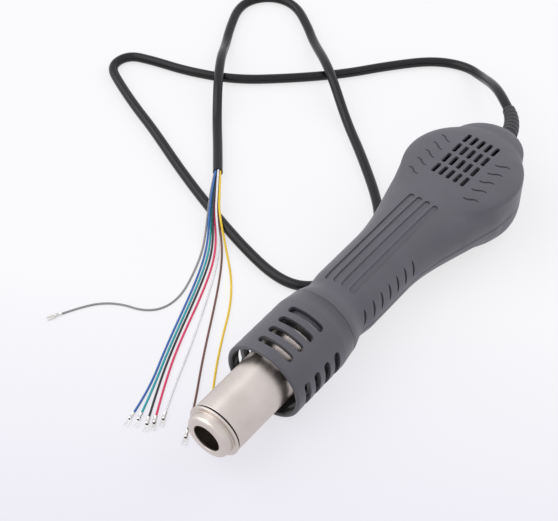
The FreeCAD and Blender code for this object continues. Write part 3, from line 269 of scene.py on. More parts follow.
@dataclass(frozen=True)
class Moulded:
    """Moulded plastic or rubber: mottling, grain, uneven gloss, and, if set, painted shade near the axis
    with a glossier surface there.
    """

    name: str
    colour: Triple
    roughness: float = 0.5
    grain_mm: float = 0.35
    grain_depth_mm: float = 0.02
    mottling: float = 0.06
    sheen: float = 0.0
    gloss: float = 0.5
    lining_mm: float = 0.0
    lining_edge_mm: Pair = (-0.3, 1.5)
    lining_shade: float = 0.06
    lining_roughness: float = 0.16
    patch_mm: float = 14.0
    gloss_patch_mm: float = 5.0
    unevenness: float = 0.05

    def material(self) -> bpy.types.Material:
        """Build the material.

        Returns:
            The material.
        """
        shader = Shader(self.name)
        colour = shader.mixed(shader.ramp(shader.noise(self.patch_mm, 4.0), *NOISE_SPAN),
                              shade(self.colour, 1 - self.mottling), shade(self.colour, 1 + self.mottling))
        rough = shader.ramp(shader.noise(self.gloss_patch_mm, 3.0), *NOISE_SPAN,
                            self.roughness - self.unevenness, self.roughness + self.unevenness)
        # Painted shade: the colour darkens towards the axis, as inside a bore and deep in its slots, and the
        # surface gets glossier there.
        if self.lining_mm:
            near, far = ((self.lining_mm + edge) * MM for edge in self.lining_edge_mm)
            inner_shade_share = shader.ramp(shader.axis_distance(), near, far, 1.0, 0.0)
            colour = shader.mixed(inner_shade_share, colour, shade(self.colour, self.lining_shade))
            rough = shader.ramp(inner_shade_share, 0.0, 1.0, self.roughness, self.lining_roughness)
        shader.bump(shader.noise(self.grain_mm, 3.0), self.grain_depth_mm)
        shader.settle(Base_Color=colour, Roughness=rough, Sheen_Weight=self.sheen,
                      Specular_IOR_Level=self.gloss)
        return shader.material


@dataclass(frozen=True)
class BareMetal:
    """Plain or plated metal: drawn streaks, a faint stain, and painted shade within radii, behind places."""

    name: str
    colour: Triple
    stain: Triple
    roughness: float = 0.22
    streaks: Triple = (1.0, 1.0, 1.0)
    streak_mm: float = 0.5
    streak_depth_mm: float = 0.004
    scorched: tuple[tuple[float, float, Triple], ...] = ()
    stain_mm: float = 18.0
    stain_span: Pair = (0.38, 0.72)
    streak_span: Pair = (0.25, 0.75)
    unevenness: Pair = (-0.06, 0.07)

    def material(self) -> bpy.types.Material:
        """Build the material.

        Returns:
            The material.
        """
        shader = Shader(self.name)
        stained = shader.ramp(shader.noise(self.stain_mm, 3.0), *self.stain_span)
        colour = shader.mixed(stained, self.colour, self.stain)
        # Painted shade: darker within each radius of the axis, behind its place.
        for radius, start, tint in self.scorched:
            colour = shader.mixed(shader.inside(radius, start), colour, tint)
        streaks = shader.noise(self.streak_mm, 3.0, self.streaks)
        rough = shader.ramp(streaks, *self.streak_span, *(self.roughness + part for part in self.unevenness))
        shader.bump(streaks, self.streak_depth_mm)
        shader.settle(Metallic=1.0, Base_Color=colour, Roughness=rough)
        return shader.material


@dataclass(frozen=True)
class Clear:
    """Clear glass with faint unevenness."""

    name: str
    colour: Triple
    roughness: float = 0.05
    unevenness: float = 0.08
    patch_mm: float = 3.0
    clearness: float = 0.9
    refraction: float = 1.46

    def material(self) -> bpy.types.Material:
        """Build the material.

        Returns:
            The material.
        """
        shader = Shader(self.name)
        rough = shader.ramp(shader.noise(self.patch_mm), *NOISE_SPAN, self.roughness,
                            self.roughness + self.unevenness)
        shader.settle(Transmission_Weight=self.clearness, IOR=self.refraction, Base_Color=self.colour,
                      Roughness=rough)
        return shader.material


class WireColour(Enum):
    """Insulation colours of the loose wires."""

    GREY = (0.28, 0.275, 0.27)
    BLUE = (0.035, 0.13, 0.40)
    TEAL = (0.02, 0.36, 0.40)
    BLACK = (0.018, 0.02, 0.025)
    PINK = (0.72, 0.035, 0.13)
    WHITE = (0.82, 0.82, 0.84)
    BROWN = (0.16, 0.065, 0.05)
    YELLOW = (0.86, 0.58, 0.03)

    @property
    def word(self) -> str:
        """The colour as node and slot names have it."""
        return self.name.lower()

    @property
    def finish(self) -> Moulded:
        """Smooth insulation of this colour."""
        return Moulded("insulation_" + self.word, self.value, 0.36, 0.9, 0.01, 0.08)


STEEL_BEIGE = (0.70, 0.635, 0.58)
# Painted shade in the gap between the neck's bead and the tube, and inside the neck's bore.
CREVICE_SHADE = (0.03, 0.028, 0.026)
BORE_SHADE = (0.30, 0.26, 0.23)
FINISHES = {finish.name: finish for finish in (
    BareMetal("bright_steel", STEEL_BEIGE, (0.62, 0.555, 0.505), 0.36, (0.05, 1.0, 1.0), 0.6,
              scorched=((12.4, 5.7, CREVICE_SHADE), (10.2, 1.0, BORE_SHADE))),
    BareMetal("zinc_steel", (0.62, 0.62, 0.63), (0.48, 0.48, 0.46), 0.32),
    Moulded("mica", (0.72, 0.62, 0.42), 0.4, 1.5, 0.05, 0.12),
    Clear("quartz", (0.95, 0.95, 0.93)),
    Moulded("ceramic", (0.82, 0.78, 0.70), 0.6, 0.5, 0.03, 0.05),
    BareMetal("heater_wire", (0.30, 0.28, 0.27), (0.18, 0.16, 0.17), 0.4),
    BareMetal("brass_tab", (0.80, 0.62, 0.30), (0.62, 0.46, 0.20), 0.3),
    Moulded("shell_plastic", (0.099, 0.096, 0.111), 0.5, 0.45, 0.03, 0.05, 0.1),
    # The collar's colour is darkened inside its bore and slots as painted shade.
    Moulded("collar_plastic", (0.091, 0.089, 0.102), 0.47, 0.45, 0.03, 0.05, 0.1, lining_mm=18.2),
    Moulded("fan_plastic", (0.03, 0.03, 0.032), 0.45),
    Moulded("magnet", (0.08, 0.075, 0.075), 0.6, 0.4, 0.03, 0.1),
    BareMetal("iron_core", (0.42, 0.41, 0.40), (0.30, 0.29, 0.28), 0.45, (1.0, 1.0, 8.0), 2.0, 0.02),
    BareMetal("copper", (0.72, 0.36, 0.18), (0.55, 0.25, 0.12), 0.3, (1.0, 1.0, 6.0), 1.5, 0.03),
    Moulded("board", (0.05, 0.22, 0.09), 0.3, 0.8, 0.01, 0.12),
    Moulded("cable_rubber", (0.010, 0.010, 0.011), 0.2, 1.2, 0.012, 0.15, gloss=0.3),
    Moulded("boot_rubber", (0.035, 0.035, 0.039), 0.38, 0.5, 0.03, 0.15),
    Moulded("lead_white", (0.75, 0.75, 0.72), 0.5),
    Moulded("lead_red", (0.45, 0.05, 0.04), 0.4),
    Moulded("lead_green", (0.25, 0.45, 0.06), 0.4),
    BareMetal("tinned_brass", (0.82, 0.81, 0.79), (0.62, 0.60, 0.56), 0.24),
    *(colour.finish for colour in WireColour),
)}


class Palette:
    """Every finish of the record, made once, when it is first asked for."""

    def __init__(self) -> None:
        """Start with no material made."""
        self.made: dict[str, bpy.types.Material] = {}

    def get(self, slot: str) -> bpy.types.Material:
        """The material of a record slot.

        Args:
            slot: the slot's name.

        Returns:
            The material.
        """
        if slot not in self.made:
            self.made[slot] = FINISHES[slot].material()
        return self.made[slot]


# ---------------------------------------------------------------- mesh building


def placed(name: str, data: bpy.types.ID) -> bpy.types.Object:
    """A new object at the origin, linked to the scene.

    Args:
        name: the object's name.
        data: its mesh, curve, lens or lamp.

    Returns:
        The object.
    """
    made = bpy.data.objects.new(name, data)
    bpy.context.scene.collection.objects.link(made)
    return made


def drawn(name: str, kind: str, lines: list[list[Iterable[float]]]) -> bpy.types.Object:
    """A curve object.

    Args:
        name: its name.
        kind: the kind of its splines.
        lines: the control points of each spline, in metres.

    Returns:
        The object, linked to the scene.
    """
    curve = bpy.data.curves.new(name, "CURVE")
    curve.dimensions = "3D"
    for line in lines:
        spline = curve.splines.new(kind)
        spline.points.add(len(line) - 1)
        for point, place in zip(spline.points, line):
            point.co = (*place, 1.0)
    return placed(name, curve)


def smooth(mesh: bpy.types.Mesh, degrees: float) -> None:
    """Shade a mesh smooth, with sharp edges where it turns more than an angle."""
    mesh.shade_smooth()
    mesh.set_sharp_from_angle(angle=math.radians(degrees))


def piece_from(name: str, points: Iterable[Iterable[float]], faces: list[Face],
               smooth_degrees: float = SHARP_DEGREES, weld_mm: float = 0.002) -> bpy.types.Object:
    """A mesh object at the origin, welded, its normals outwards, smooth but for sharp edges.

    Args:
        name: the object's name.
        points: its vertices in metres.
        faces: its faces as vertex numbers.
        smooth_degrees: edges that turn more than this stay sharp.
        weld_mm: vertices nearer than this are joined.

    Returns:
        The object, linked to the scene.
    """
    mesh = bpy.data.meshes.new(name)
    mesh.from_pydata([tuple(point) for point in points], [], faces)
    work = bmesh.new()
    work.from_mesh(mesh)
    bmesh.ops.remove_doubles(work, verts=work.verts, dist=weld_mm * MM)
    bmesh.ops.recalc_face_normals(work, faces=work.faces)
    work.to_mesh(mesh)
    work.free()
    smooth(mesh, smooth_degrees)
    return placed(name, mesh)


def grid_faces(rows: int, columns: int, ring: bool = False, tube: bool = False, first: int = 0
               ) -> list[Face]:
    """Faces of a grid whose vertices are numbered row by row.

    Args:
        rows: how many rows of vertices.
        columns: how many vertices each row has.
        ring: whether each row's end joins its start.
        tube: whether the last row joins the first.
        first: the number of the first vertex.

    Returns:
        Quads as vertex numbers.
    """
    faces = []
    for row in range(rows if tube else rows - 1):
        here, there = first + row * columns, first + (row + 1) % rows * columns
        for column in range(columns if ring else columns - 1):
            other = (column + 1) % columns
            faces.append((here + column, here + other, there + other, there + column))
    return faces


def capped_faces(rows: int, columns: int, first: int = 0) -> list[Face]:
    """Faces of a closed stack of rings, its two ends included."""
    ends = [tuple(range(start, start + columns)) for start in (first, first + (rows - 1) * columns)]
    return grid_faces(rows, columns, True, first=first) + ends


def joined(name: str, parts: list[bpy.types.Object], smooth_degrees: float = SHARP_DEGREES
           ) -> bpy.types.Object:
    """Join several mesh objects into one and remove them.

    Args:
        name: the new object's name.
        parts: the objects.
        smooth_degrees: edges that turn more than this stay sharp.

    Returns:
        The new object, linked to the scene.
    """
    work = bmesh.new()
    for part in parts:
        work.from_mesh(part.data)
    mesh = bpy.data.meshes.new(name)
    work.to_mesh(mesh)
    work.free()
    smooth(mesh, smooth_degrees)
    for part in parts:
        bpy.data.objects.remove(part)
    return placed(name, mesh)


def applied(piece: bpy.types.Object) -> bpy.types.Object:
    """Turn a mesh piece's live modifiers into plain mesh.

    Args:
        piece: the mesh object.

    Returns:
        The same object.
    """
    depsgraph = bpy.context.evaluated_depsgraph_get()
    depsgraph.update()
    mesh = bpy.data.meshes.new_from_object(piece.evaluated_get(depsgraph))
    piece.modifiers.clear()
    piece.data = mesh
    smooth(mesh, SHARP_DEGREES)
    return piece


def carved(piece: bpy.types.Object, cutter: bpy.types.Object) -> None:
    """Cut a closed cutter out of a closed piece, and remove the cutter.

    Args:
        piece: the piece to cut.
        cutter: the cutter.
    """
    modifier = piece.modifiers.new("cut", "BOOLEAN")
    modifier.operation = "DIFFERENCE"
    modifier.solver = "EXACT"
    modifier.object = cutter
    applied(piece)
    bpy.data.objects.remove(cutter)


def declared(piece: bpy.types.Object, node: str) -> None:
    """Hide the CAD node that a piece of the handle stands for, and attach the piece to the handle's body.

    Args:
        piece: the piece.
        node: the CAD node.
    """
    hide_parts(node)
    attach(piece, "handle")


def finished(piece: bpy.types.Object, palette: Palette, slot: str, node: str) -> None:
    """Args:
        piece: the piece.
        palette: the finishes.
        slot: its slot in the record.
        node: the CAD node that it stands for.
    """
    piece.data.materials.clear()
    piece.data.materials.append(palette.get(slot))
    for face in piece.data.polygons:
        face.material_index = 0
    declared(piece, node)


# ---------------------------------------------------------------- turned, rounded and slotted shapes


def turned(name: str, section: list[Pair], steps: int, start: float = 0.0, sweep: float = 2 * math.pi
           ) -> bpy.types.Object:
    """A ring turned about the handle's axis.

    Args:
        name: the object's name.
        section: places from the mouth and radii, in millimetres, round the closed section.
        steps: how many steps round the axis.
        start: the angle where a part turn begins, from +Y towards +Z.
        sweep: how far it turns.

    Returns:
        The closed piece, in the row frame.
    """
    whole = abs(sweep - 2 * math.pi) < 1e-6
    angles = [start + sweep * k / steps for k in range(steps if whole else steps + 1)]
    points = [LAYOUT.point(place, radius * math.cos(angle), radius * math.sin(angle))
              for place, radius in section for angle in angles]
    rows, columns = len(section), len(angles)
    faces = grid_faces(rows, columns, whole, True)
    if not whole:
        faces += [tuple(row * columns + end for row in range(rows)) for end in (0, columns - 1)]
    return piece_from(name, points, faces)


def rod(name: str, start: float, end: float, radius: float, steps: int) -> bpy.types.Object:
    """A solid rod on the handle's axis."""
    return turned(name, [(start, CORE_MM), (start, radius), (end, radius), (end, CORE_MM)], steps)


def upright(name: str, side: list[Pair], place: Vector, turn: Matrix = Matrix.Identity(4),
            ring: bool = False, steps: int = 32) -> bpy.types.Object:
    """A round body about an upright axis.

    Args:
        name: the object's name.
        side: heights and radii in millimetres, round a closed section for a ring, else down its side.
        place: where its axis goes, in metres.
        turn: how it is turned before it is placed.
        ring: whether the section is closed, which leaves a hole in the middle.
        steps: how many steps round the axis.

    Returns:
        The closed piece.
    """
    points = []
    for height, radius in side:
        for k in range(steps):
            angle = 2 * math.pi * k / steps
            spoke = Vector((radius * math.cos(angle), radius * math.sin(angle), height)) * MM
            points.append(turn @ spoke + place)
    rows = len(side)
    faces = grid_faces(rows, steps, True, True) if ring else capped_faces(rows, steps)
    return piece_from(name, points, faces)


def rounded(corners: list[Triple], steps: int = 5) -> list[Pair]:
    """A closed outline with rounded corners.

    Args:
        corners: the two coordinates and the radius of each corner, in millimetres.
        steps: how many steps each rounded corner takes.

    Returns:
        The outline's points.
    """
    outline = []
    for k, (first, second, radius) in enumerate(corners):
        here = Vector((first, second))
        before = (Vector(corners[k - 1][:2]) - here).normalized()
        after = (Vector(corners[(k + 1) % len(corners)][:2]) - here).normalized()
        half = before.angle(after) / 2
        centre = here + (before + after).normalized() * (radius / math.sin(half))
        trim = radius / math.tan(half)
        spoke, last = here + before * trim - centre, here + after * trim - centre
        turn = spoke.angle_signed(last)
        for step in range(steps + 1):
            ray = spoke.copy()
            ray.rotate(Matrix.Rotation(-turn * step / steps, 2))
            outline.append(tuple(centre + ray))
    return outline


def slab(name: str, rows: list[list[Vector | Triple]]) -> bpy.types.Object:
    """A closed slab from rows of the four corners of its section, in metres."""
    return piece_from(name, [corner for row in rows for corner in row], capped_faces(len(rows), 4))


def end_dense(steps: int) -> list[float]:
    """Shares from 0 to 1, close together at both ends."""
    return [0.5 - 0.5 * math.cos(math.pi * step / steps) for step in range(steps + 1)]


def slot_half(distance: float, half: float, least: float = 0.04) -> float:
    """Half the width of a round-ended slot at a distance from its end, never quite zero."""
    inside = min(1.0, max(0.0, distance / half))
    return half * max(least, math.sqrt(1 - (1 - inside) ** 2))


# ---------------------------------------------------------------- Geometry Nodes


class Recipe(Nodes):
    """A Geometry Nodes tree with named inputs, evaluated into a plain mesh."""

    def __init__(self, name: str) -> None:
        """Start an empty tree.

        Args:
            name: the tree's name.
        """
        super().__init__(bpy.data.node_groups.new(name, "GeometryNodeTree"))
        self.tree.interface.new_socket("Geometry", in_out="OUTPUT", socket_type="NodeSocketGeometry")
        self.entry = self.node("NodeGroupInput")
        self.given: dict[str, float] = {}

    def number(self, name: str, value: float) -> Socket:
        """Add a named input, a whole number for an int and a real one for a float, and keep its value.

        Args:
            name: the input's name.
            value: its value.

        Returns:
            The input, inside the tree.
        """
        kind = "NodeSocketInt" if isinstance(value, int) else "NodeSocketFloat"
        socket = self.tree.interface.new_socket(name, in_out="INPUT", socket_type=kind)
        self.given[socket.identifier] = value
        return self.entry.outputs[name]

    def counted(self, first: object, step: object, index: object) -> Socket:
        """The value of an even series at an index, which may be a share."""
        return self.math("ADD", first, self.math("MULTIPLY", index, step))

    def vector(self, x: object = 0.0, y: object = 0.0, z: object = 0.0) -> Socket:
        """A vector from three numbers or sockets."""
        return self.node("ShaderNodeCombineXYZ", {0: x, 1: y, 2: z}).outputs[0]

    def shape(self, piece: bpy.types.Object) -> Socket:
        """An object's own geometry."""
        info = self.node("GeometryNodeObjectInfo", {"Object": piece}, transform_space="ORIGINAL")
        return info.outputs["Geometry"]

    def run(self, name: str, geometry: Socket, material: bpy.types.Material) -> bpy.types.Object:
        """End the tree in Realize Instances and Set Material, and evaluate it into a plain mesh object.

        Args:
            name: the object's name.
            geometry: what the tree made.
            material: its finish.

        Returns:
            The object, linked to the scene.
        """
        real = self.node("GeometryNodeRealizeInstances", {0: geometry}).outputs[0]
        dressed = self.node("GeometryNodeSetMaterial", {"Geometry": real, "Material": material})
        self.node("NodeGroupOutput", {0: dressed.outputs[0]})
        host = placed(name, bpy.data.meshes.new(name + "_host"))
        modifier = host.modifiers.new("recipe", "NODES")
        modifier.node_group = self.tree
        for identifier, value in self.given.items():
            modifier[identifier] = value
        return applied(host)


@dataclass(frozen=True)
class Rows:
    """Where a feature's copies stand, in rows along the handle: side by side, or turned about its axis."""

    along_count: int = 1
    other_count: int = 1
    along_first: float = 0.0
    along_step: float = 0.0
    across_first: float = 0.0
    across_step: float = 0.0
    lift: float = 0.0
    turn_first_degrees: float = 0.0
    turn_step_degrees: float = 0.0


def strewn(name: str, master: bpy.types.Object, material: bpy.types.Material, rows: Rows
           ) -> bpy.types.Object:
    """Copies of one feature.

    Args:
        name: the object's name.
        master: the feature, made at the origin; it is removed afterwards.
        material: the finish of every copy.
        rows: where the copies stand.

    Returns:
        The copies as one plain mesh, in the row frame.
    """
    recipe = Recipe(name)
    size = {item.name: recipe.number(item.name, getattr(rows, item.name)) for item in fields(rows)}
    index = recipe.node("GeometryNodeInputIndex").outputs[0]
    row = recipe.math("FLOOR", recipe.math("DIVIDE", index, size["along_count"]))
    column = recipe.math("MODULO", index, size["along_count"])
    along = recipe.counted(size["along_first"], size["along_step"], column)
    across = recipe.counted(size["across_first"], size["across_step"], row)
    place = recipe.vector(*(recipe.math("MULTIPLY", part, MM) for part in (along, across, size["lift"])))
    turn = recipe.counted(size["turn_first_degrees"], size["turn_step_degrees"], row)
    total = recipe.math("MULTIPLY", size["along_count"], size["other_count"])
    points = recipe.node("GeometryNodePoints", {"Count": total, "Position": place}).outputs[0]
    copies = recipe.node("GeometryNodeInstanceOnPoints", {
        "Points": points, "Instance": recipe.shape(master),
        "Rotation": recipe.vector(recipe.math("RADIANS", turn))}).outputs[0]
    moved = recipe.node("GeometryNodeTransform", {
        "Geometry": copies, "Translation": LAYOUT.point(0.0, 0.0, 0.0)}).outputs[0]
    made = recipe.run(name, moved, material)
    bpy.data.objects.remove(master)
    return made


def swept(name: str, paths_mm: list[list[Triple]], material: bpy.types.Material,
          radius_rule: Callable[[Recipe, Socket], Socket], around: int = 12) -> bpy.types.Object:
    """Round rods that follow paths, each radius worked out along its path.

    Args:
        name: the object's name.
        paths_mm: points of each path, as place from the mouth, place across and height above the axis.
        material: the finish.
        radius_rule: gives the radius in millimetres from the tree and the share of the way along.
        around: how many sides a rod has.

    Returns:
        The closed rods as one plain mesh, in the row frame.
    """
    lines = [[LAYOUT.point(*place) for place in path] for path in paths_mm]
    paths = drawn(name + "_paths", "POLY", lines)
    recipe = Recipe(name)
    radius = radius_rule(recipe, recipe.node("GeometryNodeSplineParameter").outputs["Factor"])
    size = {"Resolution": around, "Radius": 1.0}
    ring = recipe.node("GeometryNodeCurvePrimitiveCircle", size, mode="RADIUS").outputs[0]
    rods = recipe.node("GeometryNodeCurveToMesh", {
        "Curve": recipe.shape(paths), "Profile Curve": ring,
        "Scale": recipe.math("MULTIPLY", radius, MM), "Fill Caps": True}).outputs[0]
    made = recipe.run(name, rods, material)
    bpy.data.objects.remove(paths)
    return made


def spindle(radius: float, tip_share: float) -> Callable[[Recipe, Socket], Socket]:
    """The radius rule of a rod that thins out at both ends.

    Args:
        radius: the radius halfway along.
        tip_share: the radius at the ends, as a share of that.

    Returns:
        The rule.
    """
    def rule(recipe: Recipe, share: Socket) -> Socket:
        """The radius at a share of the way along.

        Args:
            recipe: the tree.
            share: the share.

        Returns:
            The radius in millimetres.
        """
        full, tip = recipe.number("radius", radius), recipe.number("tip_share", tip_share)
        middle = recipe.math("SINE", recipe.math("MULTIPLY", share, math.pi))
        thickness = recipe.counted(tip, recipe.math("SUBTRACT", 1.0, tip), middle)
        return recipe.math("MULTIPLY", full, thickness)
    return rule


# ---------------------------------------------------------------- nozzle and collar


COLLAR_END = 80.0  # where the collar stops and the shells begin
COLLAR_END_RADIUS = 18.8


@dataclass
class Nozzle:
    """Stepped front neck with its bead, and the flanged heater tube."""

    mouth_radius: float = 6.9
    plate: float = 1.1
    neck_radius: float = 11.0
    neck_end: float = 6.0
    bead_start: float = 4.7
    bead_radius: float = 13.3
    spigot_end: float = 11.0
    spigot_radius: float = 12.2
    neck_bore: float = 10.0
    tube_start: float = 6.65
    tube_radius: float = 13.0
    tube_wall: float = 0.8
    flange_start: float = 62.0
    flange_end: float = 63.2
    flange_radius: float = 17.2
    hole_circle: float = 14.7
    hole_radius: float = 1.0
    hole_count: int = 4
    hole_cutter_half: float = 2.0
    steps: int = 160

    def build(self, palette: Palette) -> None:
        """Make the neck and the tube, from their corners' places, radii and roundings.

        Args:
            palette: the finishes.
        """
        neck = turned("nozzle_neck_skin", rounded([
            (0.0, self.mouth_radius, 0.35), (0.0, self.neck_radius, 1.7),
            (self.bead_start, self.neck_radius, 0.3),
            (self.bead_start, self.bead_radius, 0.6), (self.neck_end, self.bead_radius, 0.6),
            (self.neck_end, self.spigot_radius, 0.1), (self.spigot_end, self.spigot_radius, 0.2),
            (self.spigot_end, self.neck_bore, 0.2), (self.plate, self.neck_bore, 0.5),
            (self.plate, self.mouth_radius, 0.3)], 8), self.steps)
        bore = self.tube_radius - self.tube_wall
        tube = turned("nozzle_tube_skin", rounded([
            (self.tube_start, bore, 0.1), (self.tube_start, self.tube_radius, 0.3),
            (self.flange_start, self.tube_radius, 1.2), (self.flange_start, self.flange_radius, 0.3),
            (self.flange_end, self.flange_radius, 0.3), (self.flange_end, bore, 0.2)], 6), self.steps)
        side = [(end * self.hole_cutter_half, self.hole_radius) for end in (-1, 1)]
        hole = upright("flange_hole", side, Vector((0.0, self.hole_circle * MM, 0.0)),
                       Matrix.Rotation(math.pi / 2, 4, "Y"))
        step = 360.0 / self.hole_count
        carved(tube, strewn("flange_holes", hole, palette.get("bright_steel"), Rows(
            other_count=self.hole_count, along_first=(self.flange_start + self.flange_end) / 2,
            turn_first_degrees=step / 2, turn_step_degrees=step)))
        finished(neck, palette, "bright_steel", "nozzle_neck")
        finished(tube, palette, "bright_steel", "nozzle_tube")
        LOG.info("nozzle: neck and flanged tube")


@dataclass
class Collar:
    """Slotted front collar with a rounded lip and an inner shoulder."""

    front: float = 38.0
    end: float = COLLAR_END
    radius: float = 20.0
    bore: float = 17.65
    taper_start: float = 72.0
    end_radius: float = COLLAR_END_RADIUS
    shoulder_radius: float = 14.6
    shoulder_front: float = 60.8
    shoulder_end: float = 62.0
    lip: float = 1.1
    slot_first: float = 45.0
    slot_pitch: float = 7.0
    slot_rows: int = 4
    slot_groups: int = 4
    slot_width: float = 3.8
    slot_degrees: float = 55.0
    slot_turn_degrees: float = 6.0
    slot_steps: int = 40
    cutter_margin: float = 2.0
    steps: int = 180

    def build(self, palette: Palette) -> None:
        """Make the collar, from its corners' places, radii and roundings, and cut its slots.

        Args:
            palette: the finishes.
        """
        collar = turned("front_collar_skin", rounded([
            (self.front, self.bore, self.lip), (self.front, self.radius, self.lip),
            (self.taper_start, self.radius, 4.0), (self.end, self.end_radius, 0.4),
            (self.end, self.bore, 0.1), (self.shoulder_end, self.bore, 0.1),
            (self.shoulder_end, self.shoulder_radius, 0.2),
            (self.shoulder_front, self.shoulder_radius, 0.3), (self.shoulder_front, self.bore, 0.6)],
            6), self.steps)
        collar.data.materials.append(palette.get("collar_plastic"))
        carved(collar, strewn("collar_slots", self.slot_cutter(), palette.get("collar_plastic"), Rows(
            along_count=self.slot_rows, other_count=self.slot_groups, along_first=self.slot_first,
            along_step=self.slot_pitch, turn_first_degrees=self.slot_turn_degrees,
            turn_step_degrees=360.0 / self.slot_groups)))
        finished(collar, palette, "collar_plastic", "front_collar")
        LOG.info("collar: %d slots", self.slot_rows * self.slot_groups)

    def slot_cutter(self) -> bpy.types.Object:
        """One round-ended slot cutter, bent about the handle's axis.

        Returns:
            The closed cutter.
        """
        low, high = (self.bore - self.cutter_margin) * MM, (self.radius + self.cutter_margin) * MM
        sweep = math.radians(self.slot_degrees)
        rows = []
        for share in end_dense(self.slot_steps):
            angle = (share - 0.5) * sweep
            wide = slot_half(min(share, 1 - share) * sweep * self.radius, self.slot_width / 2) * MM
            rows.append([(side * wide, radius * math.cos(angle), radius * math.sin(angle))
                         for side, radius in ((-1, low), (1, low), (1, high), (-1, high))])
        return slab("slot_cutter", rows)


# ---------------------------------------------------------------- shells


SCREW_PLACES = ((104.0, 9.5), (219.0, 11.6))  # along the handle, and out to each side
SCREW_SEAT = -9.0
TOP_RAY = np.linspace(0.0, 20.0, 401)  # heights that are tried to find the surface
SIDE_RAY = np.linspace(12.0, 24.0, 241)  # distances from the axis that are tried


def eased(value: Numbers, start: float, end: float) -> Numbers:
    """Smooth share from 0 at start to 1 at end."""
    share = np.clip((value - start) / (end - start), 0.0, 1.0)
    return share * share * (3 - 2 * share)


def outside_oval(across: np.ndarray, rise: np.ndarray, half: Numbers, height: Numbers, power: Numbers
                 ) -> np.ndarray:
    """How far points lie outside a rounded oval, in millimetres, less than zero inside.

    Args:
        across: distances across from its middle.
        rise: distances up or down from its middle.
        half: its half width.
        height: its half height.
        power: how square it is, from 2 for an ellipse.

    Returns:
        The distances, right near the outline and rough far from it.
    """
    wide, tall = np.abs(across) / half, np.abs(rise) / height
    level = np.maximum((wide ** power + tall ** power) ** (1 / power), 1e-6)
    slope = np.hypot((wide / level) ** (power - 1) / half, (tall / level) ** (power - 1) / height)
    return (level - 1) / slope


def melted(first: np.ndarray, second: np.ndarray, reach: Numbers) -> np.ndarray:
    """The nearer of two distances, with a soft fillet of a given reach where they meet."""
    share = np.maximum(reach - np.abs(first - second), 0.0) / reach
    return np.minimum(first, second) - share * share * reach / 4


@dataclass(frozen=True)
class Pan:
    """A round flat body about an upright axis, domed above and bellied below."""

    place: float
    radius: float
    top: float
    shoulder: float
    bottom: float
    foot: float
    belly_start: float = 4.0
    dome_power: float = 2.6
    belly_power: float = 2.8

    def outside(self, x: np.ndarray, y: np.ndarray, z: np.ndarray) -> np.ndarray:
        """How far points lie outside it.

        Args:
            x: places along the handle.
            y: distances across it.
            z: heights above its axis.

        Returns:
            The distances in millimetres, less than zero inside.
        """
        out = np.hypot(x - self.place, y)
        dome = outside_oval(out, z - self.shoulder, self.radius, self.top - self.shoulder, self.dome_power)
        belly = outside_oval(np.maximum(out - self.foot, 0.0), z + self.belly_start,
                             self.radius - self.foot, self.bottom - self.belly_start, self.belly_power)
        return np.where(z > self.shoulder, dome, np.where(z < -self.belly_start, belly, out - self.radius))


